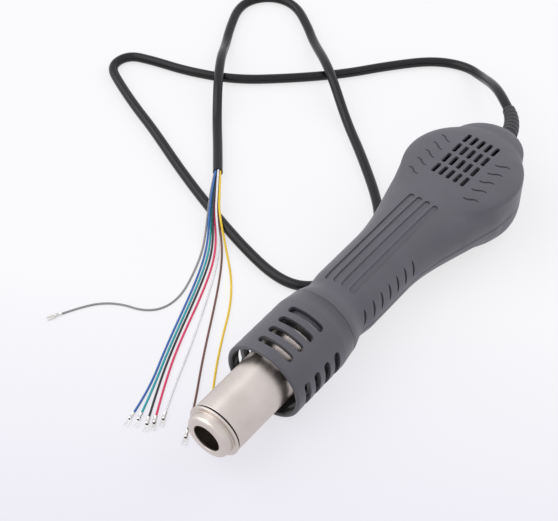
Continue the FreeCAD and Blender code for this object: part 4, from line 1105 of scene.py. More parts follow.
@dataclass
class Shells:
    """Upper and lower shell: grip, drum and nose as one soft hollow form, parted at the seam."""

    seam: float = -2.5
    wall: float = 2.0
    waist: float = 90.0
    waist_radius: float = 16.3
    grip_start: float = 99.0
    grip_radius: float = 17.2
    flare_start: float = 127.0
    flare_power: float = 0.4
    belly_power: float = 0.8
    flank_inset: float = 0.6
    level_inset: float = 0.9
    fillet: float = 4.0
    least_fillet: float = 0.5
    fillet_fade: Pair = (14.0, 2.0)
    notch_fillet: float = 1.5
    drum: Pan = Pan(194.0, 30.0, 15.5, 10.0, 20.0, 13.0)
    nose: Pan = Pan(213.0, 20.0, 13.0, 8.5, 18.5, 8.0)
    row_step: float = 0.9
    dense_start: float = 190.0
    dense_rows: int = 30
    nose_rows: int = 42
    columns: int = 110
    search_reach: float = 45.0
    search_halvings: int = 36
    search_angles: int = 361
    seam_bevel: float = 0.45
    spigot_start: float = 66.0
    spigot_end: float = 81.0
    spigot_radius: float = 17.3
    spigot_bore: float = 15.4
    boot_hole: float = 4.0
    boot_hole_span: Pair = (228.0, 236.0)
    grille_lead: float = 11.2
    grille_rows: int = 4
    grille_row_step: float = 9.1
    grille_columns: int = 5
    grille_column_step: float = 4.1
    grille_slot: Pair = (7.3, 2.2)
    grille_corner: float = 0.9
    grille_cutter_half: float = 5.0
    flute_start: float = 92.5
    flute_end: float = 161.0
    flute_count: int = 4
    flute_step: float = 4.5
    flute_width: float = 2.9
    flute_depth: float = 0.75
    flute_margin: float = 1.5
    flute_steps: int = 80
    crescent_first: float = 92.0
    crescent_step: float = 6.15
    crescent_count: int = 7
    crescent_degrees: float = 70.0
    crescent_sweep_degrees: float = 36.0
    crescent_tilt: float = 2.6
    crescent_bow: float = 0.5
    crescent_radius: float = 0.85
    crescent_tip_share: float = 0.3
    crescent_sink: float = 0.45
    crescent_points: int = 13
    lip_first: float = 174.2
    lip_step: float = 7.0
    lip_count: int = 5
    lip_inner: float = 13.0
    lip_slant: float = 2.7
    lip_bend: Pair = (0.15, 0.85)
    lip_length: float = 6.8
    lip_radius: float = 0.6
    lip_tip_share: float = 0.7
    lip_sink: float = 0.3
    lip_points: int = 11
    boss_radius: float = 3.0
    boss_end: float = -13.2
    boss_seam_gap: float = 0.02
    screw_head_hole: float = 2.5
    screw_hole: float = 1.3
    head_hole_end: float = -24.0
    posts: tuple[tuple[float, float, float, float], ...] = (  # along, out, radius and height of the top
        (183.4, 10.6, 2.2, -12.0), (204.6, 10.6, 2.2, -12.0), (113.0, 0.0, 1.5, -11.0),
        (127.0, 0.0, 1.5, -11.0))
    post_end: float = -17.0

    def outside(self, x: np.ndarray, y: np.ndarray, z: np.ndarray) -> np.ndarray:
        """How far points lie outside the whole form, in millimetres.

        Args:
            x: places along the handle.
            y: distances across it.
            z: heights above its axis.

        Returns:
            The distances, less than zero inside.
        """
        waist, drum = self.waist_radius, self.drum
        radius = waist + np.where(x < self.waist,
                                  (COLLAR_END_RADIUS - waist) * (1 - eased(x, COLLAR_END, self.waist)),
                                  (self.grip_radius - waist) * eased(x, self.waist, self.grip_start))
        share = eased(x, self.flare_start, drum.place)
        wide, top, bottom = (radius + (size - radius) * share for size in (
            drum.radius - self.flank_inset, drum.top - self.level_inset, drum.bottom - self.level_inset))
        power = 2.0 + np.where(z > 0, self.flare_power, self.belly_power) * share
        grip = np.maximum(outside_oval(y, z, wide, np.where(z > 0, top, bottom), power), x - drum.place)
        fade = 1 - eased(x, *(drum.place - lead for lead in self.fillet_fade))
        fillet = self.least_fillet + (self.fillet - self.least_fillet) * fade
        body = melted(grip, drum.outside(x, y, z), fillet)
        body = melted(body, self.nose.outside(x, y, z), self.notch_fillet)
        return np.maximum(body, -z - drum.bottom)

    def stations(self, inset: float) -> np.ndarray:
        """Places of the rows along the handle, denser where the nose closes.

        Args:
            inset: how far inside the outer surface the rows lie.

        Returns:
            The places.
        """
        nose = self.nose.place
        turn = np.linspace(0.0, math.pi / 2, self.nose_rows)
        return np.concatenate([np.arange(COLLAR_END, self.dense_start, self.row_step),
                               np.linspace(self.dense_start, nose, self.dense_rows)[:-1],
                               nose + (self.nose.radius - inset) * np.sin(turn)])

    def section(self, inset: float, upper: bool) -> np.ndarray:
        """Rows of surface points of one half, from the seam on one side over to the seam on the other.

        Args:
            inset: how far inside the outer surface they lie.
            upper: the upper half, or the lower.

        Returns:
            An array of rows by columns by three, in millimetres.
        """
        places = self.stations(inset)
        angles = np.linspace(0.0, math.pi, self.search_angles) * (1 if upper else -1)
        x = np.repeat(places[:, None], len(angles), 1)
        low, high = np.zeros_like(x), np.full_like(x, self.search_reach)
        for _ in range(self.search_halvings):
            middle = (low + high) / 2
            level = self.outside(x, middle * np.cos(angles), self.seam + middle * np.sin(angles))
            beyond = level + inset > 0
            high = np.where(beyond, middle, high)
            low = np.where(beyond, low, middle)
        y, z = low * np.cos(angles), self.seam + low * np.sin(angles)
        y[-1] = 0.0
        z[-1] = z[-2]
        rows = []
        for k, place in enumerate(places):
            length = np.concatenate([[0.0], np.cumsum(np.hypot(np.diff(y[k]), np.diff(z[k])))])
            total = max(length[-1], 1e-6)
            bevel = min(self.seam_bevel, total / 20) if inset == 0 else 0.0
            marks = np.concatenate([[0.0], np.linspace(bevel, total - bevel, self.columns), [total]])
            across, height = np.interp(marks, length, y[k]), np.interp(marks, length, z[k])
            for edge, side in ((0, 1), (-1, -1)):
                across[edge] = side * max(0.0, abs(across[edge]) - bevel)
            rows.append(np.stack([np.full_like(across, place), across, height], 1))
        return np.array(rows)

    def half(self, name: str, upper: bool) -> bpy.types.Object:
        """One closed half shell with its wall.

        Args:
            name: its name.
            upper: the upper half, or the lower.

        Returns:
            The closed shell.
        """
        grids = [self.section(inset, upper) for inset in (0.0, self.wall)]
        rows, columns = grids[0].shape[:2]
        first = rows * columns
        faces = grid_faces(rows, columns) + grid_faces(rows, columns, first=first)
        for row in range(rows - 1):
            for here in (row * columns, (row + 1) * columns - 1):
                faces.append((here, here + columns, first + here + columns, first + here))
        for column in range(columns - 1):
            faces.append((column, column + 1, first + column + 1, first + column))
        points = [LAYOUT.point(*place) for grid in grids for row in grid for place in row]
        return piece_from(name, points, faces, weld_mm=0.001)

    def top_height(self, along: float, across: float) -> float:
        """Height of the upper surface over one spot."""
        level = self.outside(np.full_like(TOP_RAY, along), np.full_like(TOP_RAY, across), TOP_RAY)
        return float(np.interp(0.0, level, TOP_RAY))

    def side_reach(self, along: float, angle: float) -> float:
        """Distance from the axis to the surface, at an angle from upright.

        Args:
            along: the place along the handle.
            angle: the angle in radians.

        Returns:
            The distance.
        """
        level = self.outside(np.full_like(SIDE_RAY, along), SIDE_RAY * math.sin(angle),
                             SIDE_RAY * math.cos(angle))
        return float(np.interp(0.0, level, SIDE_RAY))

    def lip_paths(self) -> list[list[Triple]]:
        """Hooked grooves down both flanks of the drum.

        Returns:
            The points of each groove.
        """
        paths = []
        for side in (-1, 1):
            for number in range(self.lip_count):
                path = []
                for share in np.linspace(0.0, 1.0, self.lip_points):
                    lean = self.lip_slant * eased(share, *self.lip_bend)
                    place = self.lip_first + number * self.lip_step + lean
                    across = side * (self.lip_inner + self.lip_length * share)
                    path.append((place, across, self.top_height(place, across) - self.lip_sink))
                paths.append(path)
        return paths

    def crescent_paths(self) -> list[list[Triple]]:
        """Short grooves across both sides of the grip.

        Returns:
            The points of each groove.
        """
        paths = []
        for side in (-1, 1):
            for number in range(self.crescent_count):
                place = self.crescent_first + number * self.crescent_step
                path = []
                for share in np.linspace(-0.5, 0.5, self.crescent_points):
                    angle = math.radians(self.crescent_degrees + share * self.crescent_sweep_degrees)
                    radius = self.side_reach(place, angle) - self.crescent_sink
                    shift = self.crescent_bow * (1 - 4 * share * share) - self.crescent_tilt * share
                    path.append((place + shift, side * radius * math.sin(angle),
                                 radius * math.cos(angle)))
                paths.append(path)
        return paths

    def flute(self, middle: float) -> bpy.types.Object:
        """One long flat-bottomed flute cutter with round ends.

        Args:
            middle: where its middle line lies across the handle.

        Returns:
            The closed cutter.
        """
        rows = []
        length = self.flute_end - self.flute_start
        for share in end_dense(self.flute_steps):
            along = self.flute_start + length * share
            wide = slot_half(length * min(share, 1 - share), self.flute_width / 2)
            edges = (middle - wide, middle + wide)
            top = self.top_height(along, middle) + self.flute_margin
            low = [LAYOUT.point(along, across, self.top_height(along, across) - self.flute_depth)
                   for across in edges]
            rows.append(low + [LAYOUT.point(along, across, top) for across in reversed(edges)])
        return slab("flute_cutter", rows)

    def grille(self, palette: Palette) -> bpy.types.Object:
        """The drum's slots, as one cutter.

        Args:
            palette: the finishes.

        Returns:
            The closed cutters in one mesh.
        """
        length, width = (size / 2 for size in self.grille_slot)
        outline = rounded([(side * length, turn * width, self.grille_corner)
                           for side, turn in ((-1, -1), (1, -1), (1, 1), (-1, 1))])
        points = [(x * MM, y * MM, end * self.grille_cutter_half * MM)
                  for end in (-1, 1) for x, y in outline]
        slot = piece_from("grille_slot", points, capped_faces(2, len(outline)))
        return strewn("grille_cutters", slot, palette.get("shell_plastic"), Rows(
            along_count=self.grille_rows, other_count=self.grille_columns,
            along_first=self.drum.place - self.grille_lead, along_step=self.grille_row_step,
            across_first=-(self.grille_columns - 1) / 2 * self.grille_column_step,
            across_step=self.grille_column_step, lift=self.drum.top))

    def boot_cutter(self) -> bpy.types.Object:
        """The round hole at the nose's end."""
        return rod("boot_hole", *self.boot_hole_span, self.boot_hole, 40)

    def spigot(self, upper: bool) -> bpy.types.Object:
        """Half of the ring that reaches into the collar.

        Args:
            upper: the upper half, or the lower.

        Returns:
            The closed piece.
        """
        dip = math.asin(-self.seam / self.spigot_radius)
        start, sweep = (-dip, math.pi + 2 * dip) if upper else (math.pi + dip, math.pi - 2 * dip)
        section = [(self.spigot_start, self.spigot_bore), (self.spigot_start, self.spigot_radius),
                   (self.spigot_end, self.spigot_radius), (self.spigot_end, self.spigot_bore)]
        return turned("spigot", section, 90, start, sweep)

    def bosses(self) -> list[bpy.types.Object]:
        """Screw bosses and posts inside the lower shell.

        Returns:
            The closed pieces.
        """
        seam = self.seam - self.boss_seam_gap
        boss = [(seam, self.screw_hole), (seam, self.boss_radius), (self.boss_end, self.boss_radius),
                (self.boss_end, self.screw_head_hole), (SCREW_SEAT, self.screw_head_hole),
                (SCREW_SEAT, self.screw_hole)]
        made = [upright("boss", boss, LAYOUT.point(along, side * out, 0.0), ring=True)
                for along, out in SCREW_PLACES for side in (-1, 1)]
        for along, out, radius, height in self.posts:
            for side in ((-1, 1) if out else (1,)):
                made.append(upright("post", [(height, radius), (self.post_end, radius)],
                                    LAYOUT.point(along, side * out, 0.0)))
        return made

    def head_cutters(self) -> list[bpy.types.Object]:
        """Holes for the screw heads, through the lower shell's wall.

        Returns:
            The closed cutters.
        """
        hole = [(SCREW_SEAT, self.screw_head_hole), (self.head_hole_end, self.screw_head_hole)]
        return [upright("head_hole", hole, LAYOUT.point(along, side * out, 0.0))
                for along, out in SCREW_PLACES for side in (-1, 1)]

    def build(self, palette: Palette) -> None:
        """Make both shells.

        Args:
            palette: the finishes.
        """
        plastic = palette.get("shell_plastic")
        upper, lower = self.half("upper_half", True), self.half("lower_half", False)
        for piece in (upper, lower):
            piece.data.materials.append(plastic)
        middle = (self.flute_count - 1) / 2
        flutes = [self.flute((number - middle) * self.flute_step) for number in range(self.flute_count)]
        crescents = swept("crescents", self.crescent_paths(), plastic,
                          spindle(self.crescent_radius, self.crescent_tip_share))
        lips = swept("lips", self.lip_paths(), plastic, spindle(self.lip_radius, self.lip_tip_share))
        cutters = flutes + [self.grille(palette), self.boot_cutter(), crescents, lips]
        carved(upper, joined("upper_cutters", cutters))
        carved(lower, joined("lower_cutters", self.head_cutters() + [self.boot_cutter()]))
        top = joined("upper_shell_skin", [upper, self.spigot(True)])
        bottom = joined("lower_shell_skin", [lower, self.spigot(False)] + self.bosses())
        finished(top, palette, "shell_plastic", "upper_shell")
        finished(bottom, palette, "shell_plastic", "lower_shell")
        LOG.info("shells: %d and %d faces", len(top.data.polygons), len(bottom.data.polygons))


@dataclass
class ShellScrews:
    """Four cross-headed screws driven up through the lower shell, placed by Geometry Nodes."""

    shank_radius: float = 1.1
    tip_radius: float = 0.77
    tip_length: float = 1.0
    core_radius: float = 0.02
    head_radius: float = 2.3
    head_height: float = 1.8
    head_curve: tuple[Pair, ...] = ((0.0, 0.62), (0.25, 0.88), (0.7, 1.0))
    reach: float = 3.5
    thread_first: float = 0.4
    thread_last: float = 1.4
    thread_pitch: float = 1.0
    thread_depth: float = 0.22
    recess_width: float = 0.6
    recess_half: float = 1.426
    recess_depth: float = 1.0
    recess_taper: float = 0.45
    recess_margin: float = 0.5

    def screw(self) -> bpy.types.Object:
        """One screw, head down, its axis upright at the origin.

        Returns:
            The closed screw.
        """
        low = SCREW_SEAT - self.head_height
        side = [(low, self.core_radius)]
        side += [(low + rise, self.head_radius * share) for rise, share in self.head_curve]
        side += [(SCREW_SEAT, self.head_radius), (SCREW_SEAT, self.shank_radius)]
        height = SCREW_SEAT + self.thread_first
        while height < self.reach - self.thread_last:
            side += [(height, self.shank_radius - self.thread_depth),
                     (height + self.thread_pitch / 2, self.shank_radius)]
            height += self.thread_pitch
        side += [(self.reach - self.tip_length, self.tip_radius), (self.reach, self.core_radius)]
        made = upright("screw", side, Vector((0.0, 0.0, 0.0)), steps=24)
        for degrees in (0.0, 90.0):
            carved(made, self.recess(low, Matrix.Rotation(math.radians(degrees), 3, "Z")))
        return made

    def recess(self, low: float, turn: Matrix) -> bpy.types.Object:
        """A cutter for one bar of the cross in the head, from the head's low end upwards.

        Args:
            low: the height of the head's low end.
            turn: how the bar is turned about the screw.

        Returns:
            The closed cutter.
        """
        ends = ((low - self.recess_margin, 1.0), (low + self.recess_depth, self.recess_taper))
        rows = []
        for height, share in ends:
            long, wide = self.recess_half * share, self.recess_width / 2
            rows.append([turn @ Vector((x * MM, y * MM, height * MM))
                         for x, y in ((-long, -wide), (long, -wide), (long, wide), (-long, wide))])
        return slab("recess", rows)

    def build(self, palette: Palette) -> None:
        """Make all four.

        Args:
            palette: the finishes.
        """
        pairs = [strewn("screw_pair", self.screw(), palette.get("zinc_steel"), Rows(
            other_count=2, along_first=along, across_first=-across, across_step=2 * across))
            for along, across in SCREW_PLACES]
        finished(joined("shell_screws_skin", pairs), palette, "zinc_steel", "shell_screws")
        LOG.info("shell screws: %d", 2 * len(pairs))


# ---------------------------------------------------------------- stage, camera and lights


@dataclass(frozen=True)
class Lamp:
    """A square soft lamp: place and size in metres, watts, and whether glossy surfaces show it."""

    name: str
    place: Triple
    size: float
    power: float
    shows: bool = True


@dataclass
class Stage:
    """Pale floor, soft lights and the camera, with places and distances in metres."""

    aim: Triple = (-0.003208, 0.050232, 0.0)
    distance: float = 0.6949
    elevation_degrees: float = 47.554
    azimuth_degrees: float = -51.742
    focal_length_in_widths: float = 1423.0 / 558.0
    sensor_mm: float = 36.0
    clip: Pair = (0.01, 20.0)
    floor_size: float = 6.0
    floor_colour: Triple = (0.83, 0.82, 0.87)
    floor_shades: Pair = (0.985, 1.01)
    floor_patch_mm: float = 120.0
    glow_colour: Triple = (1.0, 0.995, 1.0)
    # Painted shade: the glow's colour on the floor's side towards the camera.
    glow_far_colour: Triple = (0.80, 0.79, 0.90)
    glow_slope: Triple = (-0.85, -0.5, 0.0)
    glow_range: Pair = (0.0, 0.2)
    glow_share: float = 0.72
    world_colour: Triple = (0.95, 0.95, 1.0)
    world_strength: float = 0.62
    lamps: tuple[Lamp, ...] = (Lamp("key", (-0.55, 0.95, 1.15), 1.8, 12.5),
                               Lamp("fill", (0.9, -0.5, 1.0), 1.4, 7.0, False))

    def build(self) -> None:
        """Make the whole stage."""
        scene = bpy.context.scene
        scene.view_settings.view_transform = "Standard"
        scene.camera = self.camera()
        scene.world = self.world()
        self.make_floor()
        for lamp in self.lamps:
            self.make_lamp(lamp)

    def camera(self) -> bpy.types.Object:
        """The camera at its viewing angle.

        Returns:
            The camera's object.
        """
        lens = bpy.data.cameras.new("camera")
        lens.sensor_width = self.sensor_mm
        lens.sensor_fit = "HORIZONTAL"
        lens.lens = self.focal_length_in_widths * self.sensor_mm
        lens.clip_start, lens.clip_end = self.clip
        camera = placed("camera", lens)
        rise, turn = math.radians(self.elevation_degrees), math.radians(self.azimuth_degrees)
        camera.rotation_euler = (math.pi / 2 - rise, 0.0, turn)
        away = Vector((math.sin(turn) * math.cos(rise), -math.cos(turn) * math.cos(rise), math.sin(rise)))
        camera.location = Vector(self.aim) + away * self.distance
        return camera

    def make_floor(self) -> None:
        """A wide pale floor that keeps the object's shadow; its glow is darker and bluer towards the camera,
        as painted shade.
        """
        half = self.floor_size / 2
        corners = [(x * half, y * half, 0.0) for x, y in ((-1, -1), (1, -1), (1, 1), (-1, 1))]
        mesh = bpy.data.meshes.new("floor")
        mesh.from_pydata(corners, [], [(0, 1, 2, 3)])
        shader = Shader("floor")
        tint = shader.mixed(shader.noise(self.floor_patch_mm),
                            *(shade(self.floor_colour, factor) for factor in self.floor_shades))
        shader.settle(Base_Color=tint, Roughness=0.75, Specular_IOR_Level=0.2)
        # Painted shade: the glow darkens towards the camera along a slope across the floor.
        slope = shader.vector_math("DOT_PRODUCT", shader.place, self.glow_slope, "Value")
        near = shader.ramp(slope, *self.glow_range)
        colour = shader.mixed(near, self.glow_colour, self.glow_far_colour)
        glow = shader.node("ShaderNodeEmission", {"Color": colour}).outputs["Emission"]
        blend = shader.node("ShaderNodeMixShader", {
            "Fac": shader.seen(self.glow_share), 1: shader.surface.outputs["BSDF"], 2: glow})
        shader.feed(shader.tree.nodes["Material Output"].inputs["Surface"], blend.outputs["Shader"])
        mesh.materials.append(shader.material)
        placed("floor", mesh)

    def world(self) -> bpy.types.World:
        """Even pale light from all round, at full strength only where it is seen.

        Returns:
            The world.
        """
        world = bpy.data.worlds.new("studio")
        world.use_nodes = True
        tree = Nodes(world.node_tree)
        background = world.node_tree.nodes["Background"].inputs
        tree.feed(background["Color"], (*self.world_colour, 1.0))
        tree.feed(background["Strength"],
                  tree.math("ADD", tree.seen(1.0 - self.world_strength), self.world_strength))
        return world

    def make_lamp(self, lamp: Lamp) -> None:
        """One area lamp that faces the aim.

        Args:
            lamp: what it is like.
        """
        data = bpy.data.lights.new(lamp.name, "AREA")
        data.size = lamp.size
        data.energy = lamp.power
        made = placed(lamp.name, data)
        made.location = lamp.place
        made.rotation_euler = (Vector(self.aim) - Vector(lamp.place)).to_track_quat("-Z", "Y").to_euler()
        made.visible_glossy = lamp.shows


# ---------------------------------------------------------------- cable and wires


CABLE_ROUTE_MM = [
    (139.481, 10.716, 20.0), (147.2, 19.9, 20.0), (157.0, 31.0, 15.0), (167.5, 43.0, 6.4),
    (174.0, 57.5, 2.6), (167.0, 74.5, 2.6), (148.6, 90.9, 2.6), (125.5, 108.0, 2.6),
    (105.0, 128.5, 2.6), (86.0, 150.5, 2.6), (75.0, 176.0, 2.6), (70.0, 197.5, 2.6),
    (65.0, 211.5, 2.6), (51.6, 212.9, 2.6), (43.5, 197.5, 2.6), (35.0, 178.5, 2.6),
    (27.2, 158.5, 2.6), (12.6, 126.5, 2.6), (0.4, 95.5, 2.6), (-9.2, 67.0, 2.6),
    (-14.5, 44.5, 2.6), (-12.5, 30.0, 2.6), (-2.5, 20.5, 2.6), (12.0, 17.5, 2.6),
    (28.0, 18.5, 2.6), (43.5, 23.5, 2.6), (58.0, 35.0, 2.6), (80.0, 61.2, 2.6),
    (96.0, 82.5, 2.6), (111.5, 103.0, 9.4), (122.5, 117.0, 9.4), (138.0, 136.5, 2.6),
    (148.5, 149.5, 2.6), (158.4, 165.0, 2.6), (158.0, 178.6, 2.6), (149.2, 188.4, 2.6),
    (136.3, 190.4, 2.6), (118.0, 181.7, 2.6), (105.0, 174.0, 2.6), (90.0, 164.5, 9.4),
    (73.0, 152.5, 9.4), (54.0, 137.5, 2.6), (38.0, 123.5, 2.6), (22.5, 110.5, 4.2),
]


def cord_curve(name: str, route_mm: list[Triple], diameter_mm: float, material: bpy.types.Material,
               steps: int) -> bpy.types.Object:
    """A round cord on one smooth spline.

    Args:
        name: the object's name.
        route_mm: the spline's control points, in the row frame.
        diameter_mm: the cord's diameter.
        material: its finish.
        steps: how many steps each control point gets.

    Returns:
        The curve object.
    """
    cord = drawn(name, "NURBS", [[tuple(value * MM for value in place) for place in route_mm]])
    curve = cord.data
    curve.bevel_depth = diameter_mm / 2 * MM
    curve.bevel_resolution = 6
    curve.use_fill_caps = True
    curve.resolution_u = steps
    curve.splines[0].order_u = 3
    curve.splines[0].use_endpoint_u = True
    curve.materials.append(material)
    return cord


@dataclass
class Cable:
    """The jacketed cable from the boot's tip to the loose wires."""

    diameter_mm: float = 5.2
    length_mm: float = 884.8

    def build(self, palette: Palette, boot: bpy.types.Object) -> None:
        """Args:
            palette: the finishes.
            boot: the strain relief on it; not used.
        """
        jacket = cord_curve("cable_jacket_skin", CABLE_ROUTE_MM, self.diameter_mm,
                            palette.get("cable_rubber"), 10)
        declared(jacket, "cable_jacket")
        LOG.info("cable: %.0f mm long", self.length_mm)


@dataclass(frozen=True)
class LooseWire:
    """One loose wire: its angle in the jacket (none in the middle), place in the bundle and route."""

    colour: WireColour
    ring_degrees: float | None
    offset_mm: float
    lift_mm: float
    length_mm: float
    floor_mm: tuple[Pair, ...]


@dataclass(frozen=True)
class Terminal:
    """A crimped terminal on a wire's end: a rolled barrel and a forked tongue in front of it."""

    barrel_radius: float = 1.0
    barrel_wall: float = 0.28
    barrel_sides: int = 20
    barrel_shape: tuple[Pair, ...] = ((0.0, 1.0), (0.35, 1.0), (0.7, 0.86), (1.5, 0.8), (2.2, 0.86),
                                      (2.6, 1.0), (3.3, 0.98), (3.6, 0.9))
    pinch: float = 0.48
    overlap: float = 1.3
    tongue_low: float = 0.4
    tongue_high: float = 0.9
    tongue_start: float = 3.0
    tongue_shoulder: float = 3.9
    tongue_end: float = 7.4
    tongue_half: float = 1.2
    tongue_corner: Pair = (0.4, 0.35)
    root_half: float = 0.7
    fork_half: float = 0.62
    fork_inner: Pair = (5.5, 0.5)
    fork_middle: float = 5.1

    def barrel(self) -> tuple[list[Triple], list[Face]]:
        """Points and faces of the barrel, pinched where it grips the wire.

        Returns:
            The points, in millimetres from the barrel's end, and the faces.
        """
        rings = [(along, scale, 0.0) for along, scale in self.barrel_shape]
        rings += [(along, scale, self.barrel_wall) for along, scale in reversed(self.barrel_shape)]
        points = []
        for along, scale, inset in rings:
            radius = self.barrel_radius * scale - inset
            for step in range(self.barrel_sides):
                angle = 2 * math.pi * step / self.barrel_sides
                pinch = 1.0 - self.pinch * max(0.0, math.cos(angle)) ** 2 * (1.0 - scale)
                points.append((along, radius * math.sin(angle),
                               self.barrel_radius + radius * math.cos(angle) * pinch))
        return points, grid_faces(len(rings), self.barrel_sides, True, True)

    def tongue(self, first: int) -> tuple[list[Triple], list[Face]]:
        """Points and faces of the tongue, numbered from a first vertex.

        Args:
            first: the number of its first vertex.

        Returns:
            The points, in millimetres from the barrel's end, and the faces.
        """
        cut, drop = self.tongue_corner
        side = [(self.tongue_start, self.root_half), (self.tongue_shoulder, self.tongue_half),
                (self.tongue_end - cut, self.tongue_half), (self.tongue_end, self.tongue_half - drop),
                (self.tongue_end, self.fork_half), self.fork_inner]
        outline = [(x, -y) for x, y in side] + [(self.fork_middle, 0.0)] + side[::-1]
        points = [(x, y, height) for height in (self.tongue_low, self.tongue_high) for x, y in outline]
        return points, capped_faces(2, len(outline), first)

    def build(self, name: str, route_mm: list[Triple]) -> bpy.types.Object:
        """Make it on the end of a wire, lying level.

        Args:
            name: the object's name.
            route_mm: the wire's control points.

        Returns:
            The piece.
        """
        last, before = (Vector((x, y, 0.0)) for x, y, _ in (route_mm[-1], route_mm[-2]))
        heading = (last - before).normalized()
        place = (Matrix.Translation(last - heading * self.overlap)
                 @ Matrix.Rotation(math.atan2(heading.y, heading.x), 4, "Z"))
        points, faces = self.barrel()
        tongue_points, tongue_faces = self.tongue(len(points))
        world = [place @ Vector(point) * MM for point in points + tongue_points]
        return piece_from(name, world, faces + tongue_faces, 40.0, 0.0005)


def sideways(way: Vector) -> Vector:
    """The level direction to the right of a way."""
    return Vector((way.y, -way.x, 0.0)).normalized()


@dataclass
class WireLoom:
    """Eight loose wires that leave the jacket, cross the cable and end in crimped terminals."""

    diameter_mm: float = 1.1
    ring_radius_mm: float = 1.5
    tail_mm: float = 1.0
    floor_lift_mm: float = 0.56
    near_mm: Triple = (6.5, 99.0, 7.1)
    far_mm: Triple = (-3.5, 91.5, 7.1)
    far_spread: float = 1.15
    early_share: float = 0.47
    early_lift_mm: float = 0.45
    terminal: Terminal = Terminal()
    wires: tuple[LooseWire, ...] = (
        LooseWire(WireColour.GREY, 180.0, -2.45, -0.58, 146.2, (
            (-20.4, 83.9), (-37.0, 76.6), (-51.5, 72.2), (-62.5, 74.0), (-69.0, 81.0), (-71.5, 90.5),
            (-77.0, 99.0), (-86.0, 105.5), (-95.0, 109.8))),
        LooseWire(WireColour.BLUE, 128.6, -1.75, 0.58, 158.1, (
            (-19.6, 82.2), (-41.0, 71.9), (-78.0, 57.6), (-102.0, 46.9), (-117.2, 43.4))),
        LooseWire(WireColour.TEAL, 231.4, -1.05, -0.58, 157.2, (
            (-19.0, 80.8), (-40.4, 70.5), (-77.4, 56.1), (-101.4, 45.5), (-115.2, 40.3))),
        LooseWire(WireColour.BLACK, None, -0.35, 0.58, 159.4, (
            (-18.4, 79.4), (-39.8, 69.1), (-76.8, 54.7), (-99.5, 44.2), (-114.8, 36.0))),
        LooseWire(WireColour.PINK, 282.9, 0.35, -0.58, 158.2, (
            (-17.4, 78.0), (-39.0, 66.9), (-76.0, 52.9), (-98.0, 42.0), (-112.4, 33.9))),
        LooseWire(WireColour.WHITE, 77.1, 1.05, 0.58, 155.9, (
            (-16.6, 76.6), (-37.0, 64.9), (-72.0, 48.2), (-95.0, 38.6), (-108.3, 32.0))),
        LooseWire(WireColour.BROWN, 334.3, 1.75, -0.58, 164.0, (
            (-15.6, 75.3), (-37.5, 60.4), (-74.0, 39.2), (-97.0, 24.3), (-109.6, 17.8))),
        LooseWire(WireColour.YELLOW, 25.7, 2.45, 0.58, 167.2, (
            (-14.6, 74.1), (-26.0, 61.5), (-40.0, 50.2), (-60.5, 39.2), (-79.5, 27.6), (-94.0, 17.0),
            (-103.0, 5.5))),
    )

    def route(self, wire: LooseWire) -> list[Triple]:
        """A wire's control points, from inside the jacket's end to its tip.

        Args:
            wire: the wire.

        Returns:
            The points, in millimetres in the row frame.
        """
        start = Vector(CABLE_ROUTE_MM[-1])
        heading = (start - Vector(CABLE_ROUTE_MM[-2])).normalized()
        side = sideways(heading)
        if wire.ring_degrees is not None:
            angle = math.radians(wire.ring_degrees)
            spoke = side.cross(heading) * math.sin(angle) - side * math.cos(angle)
            start += spoke * self.ring_radius_mm
        start -= heading * self.tail_mm
        near, far, lift = Vector(self.near_mm), Vector(self.far_mm), Vector((0.0, 0.0, wire.lift_mm))
        shift = sideways(far - near) * wire.offset_mm
        near, far = near - shift + lift, far - shift * self.far_spread + lift
        early = start.lerp(near, self.early_share) + Vector((0.0, 0.0, self.early_lift_mm))
        return [tuple(point) for point in (start, early, near, far)] + [(x, y, self.floor_lift_mm)
                                                                        for x, y in wire.floor_mm]

    def build(self, palette: Palette) -> None:
        """Make and declare every wire with its terminal.

        Args:
            palette: the finishes.
        """
        for wire in self.wires:
            route, name, slot = self.route(wire), "wire_" + wire.colour.word, wire.colour.finish.name
            skin = cord_curve(name + "_skin", route, self.diameter_mm, palette.get(slot), 8)
            crimp = self.terminal.build("crimp_" + wire.colour.word, route)
            finished(crimp, palette, "tinned_brass", "wire_terminals")
            declared(skin, name)
        LOG.info("loose wires: %d", len(self.wires))


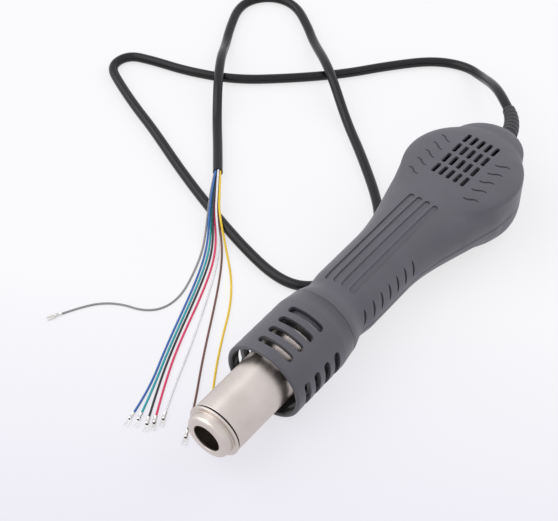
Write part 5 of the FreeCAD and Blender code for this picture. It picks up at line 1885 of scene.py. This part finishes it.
@dataclass
class Boot:
    """Ribbed strain relief: a bent cone with ribs set along it by Geometry Nodes, on a flanged root."""

    start_mm: float = 233.0
    bend_radius_mm: float = 30.0
    turn_degrees: float = 50.0
    base_radius_mm: float = 4.9
    tip_radius_mm: float = 3.3
    rib_count: int = 9
    rib_depth_mm: float = 0.75
    groove_power: float = 0.5
    tip_depth_loss: float = 0.5
    length_steps: int = 144
    sides: int = 48
    root_start_mm: float = 228.3
    root_flange_end_mm: float = 229.8
    root_end_mm: float = 233.3
    root_flange_radius_mm: float = 5.6
    root_radius_mm: float = 3.8

    def middle(self, share: float) -> Triple:
        """A point of its bent middle line, as place, across and height.

        Args:
            share: the share of the way along.

        Returns:
            The point, in millimetres.
        """
        angle = math.radians(self.turn_degrees) * share
        return (self.start_mm + self.bend_radius_mm * math.sin(angle),
                self.bend_radius_mm * (1 - math.cos(angle)), 0.0)

    def radius(self, recipe: Recipe, share: Socket) -> Socket:
        """The cone's radius at a share of the way along, less the grooves between its ribs.

        Args:
            recipe: the tree.
            share: the share of the way along.

        Returns:
            The radius in millimetres.
        """
        base = recipe.number("base_radius", self.base_radius_mm)
        tip = recipe.number("tip_radius", self.tip_radius_mm)
        depth = recipe.number("rib_depth", self.rib_depth_mm)
        turns = recipe.math("MULTIPLY", share, recipe.number("rib_count", self.rib_count))
        wave = recipe.math("SINE", recipe.math("MULTIPLY", turns, 2 * math.pi))
        groove = recipe.math("POWER", recipe.math("MAXIMUM", wave, 0.0), self.groove_power)
        fade = recipe.counted(1.0, -self.tip_depth_loss, share)
        cut = recipe.math("MULTIPLY", recipe.math("MULTIPLY", groove, fade), depth)
        taper = recipe.counted(base, recipe.math("SUBTRACT", tip, base), share)
        return recipe.math("SUBTRACT", taper, cut)

    def build(self, palette: Palette) -> bpy.types.Object:
        """Make the boot and its root inside the nose.

        Args:
            palette: the finishes.

        Returns:
            The piece.
        """
        line = [self.middle(step / self.length_steps) for step in range(self.length_steps + 1)]
        cone = swept("boot_cone", [line], palette.get("boot_rubber"), self.radius, self.sides)
        root = turned("boot_root", [
            (self.root_start_mm, CORE_MM), (self.root_start_mm, self.root_flange_radius_mm),
            (self.root_flange_end_mm, self.root_flange_radius_mm),
            (self.root_flange_end_mm, self.root_radius_mm),
            (self.root_end_mm, self.root_radius_mm), (self.root_end_mm, CORE_MM)], self.sides)
        boot = joined("strain_relief_boot_skin", [cone, root], 50.0)
        finished(boot, palette, "boot_rubber", "strain_relief_boot")
        LOG.info("strain relief boot: %d ribs", self.rib_count)
        return boot


# ---------------------------------------------------------------- the whole


def dress_carried(palette: Palette, frame: dict) -> None:
    """Give its finish to every CAD node that no piece stands for.

    Args:
        palette: the finishes.
        frame: the loaded frame.
    """
    slots = {part["node"]: part["material_slot"] for part in frame["record"]["subparts"]}
    shown = {name: node for name, node in frame["nodes"].items() if not node.hide_render}
    for name, node in shown.items():
        node.data.materials.clear()
        node.data.materials.append(palette.get(slots[name]))
    LOG.info("carried nodes dressed: %d", len(shown))


def main() -> None:
    """Build the looks in order and report each piece."""
    global LAYOUT
    logging.basicConfig(level=logging.INFO, format="%(name)s: %(message)s")
    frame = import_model()
    LAYOUT = Layout.from_frame()
    palette = Palette()
    Stage().build()
    boot = Boot().build(palette)
    Cable().build(palette, boot)
    for group in (WireLoom(), Nozzle(), Collar(), Shells(), ShellScrews()):
        group.build(palette)
    dress_carried(palette, frame)


if __name__ == "__main__":
    main()
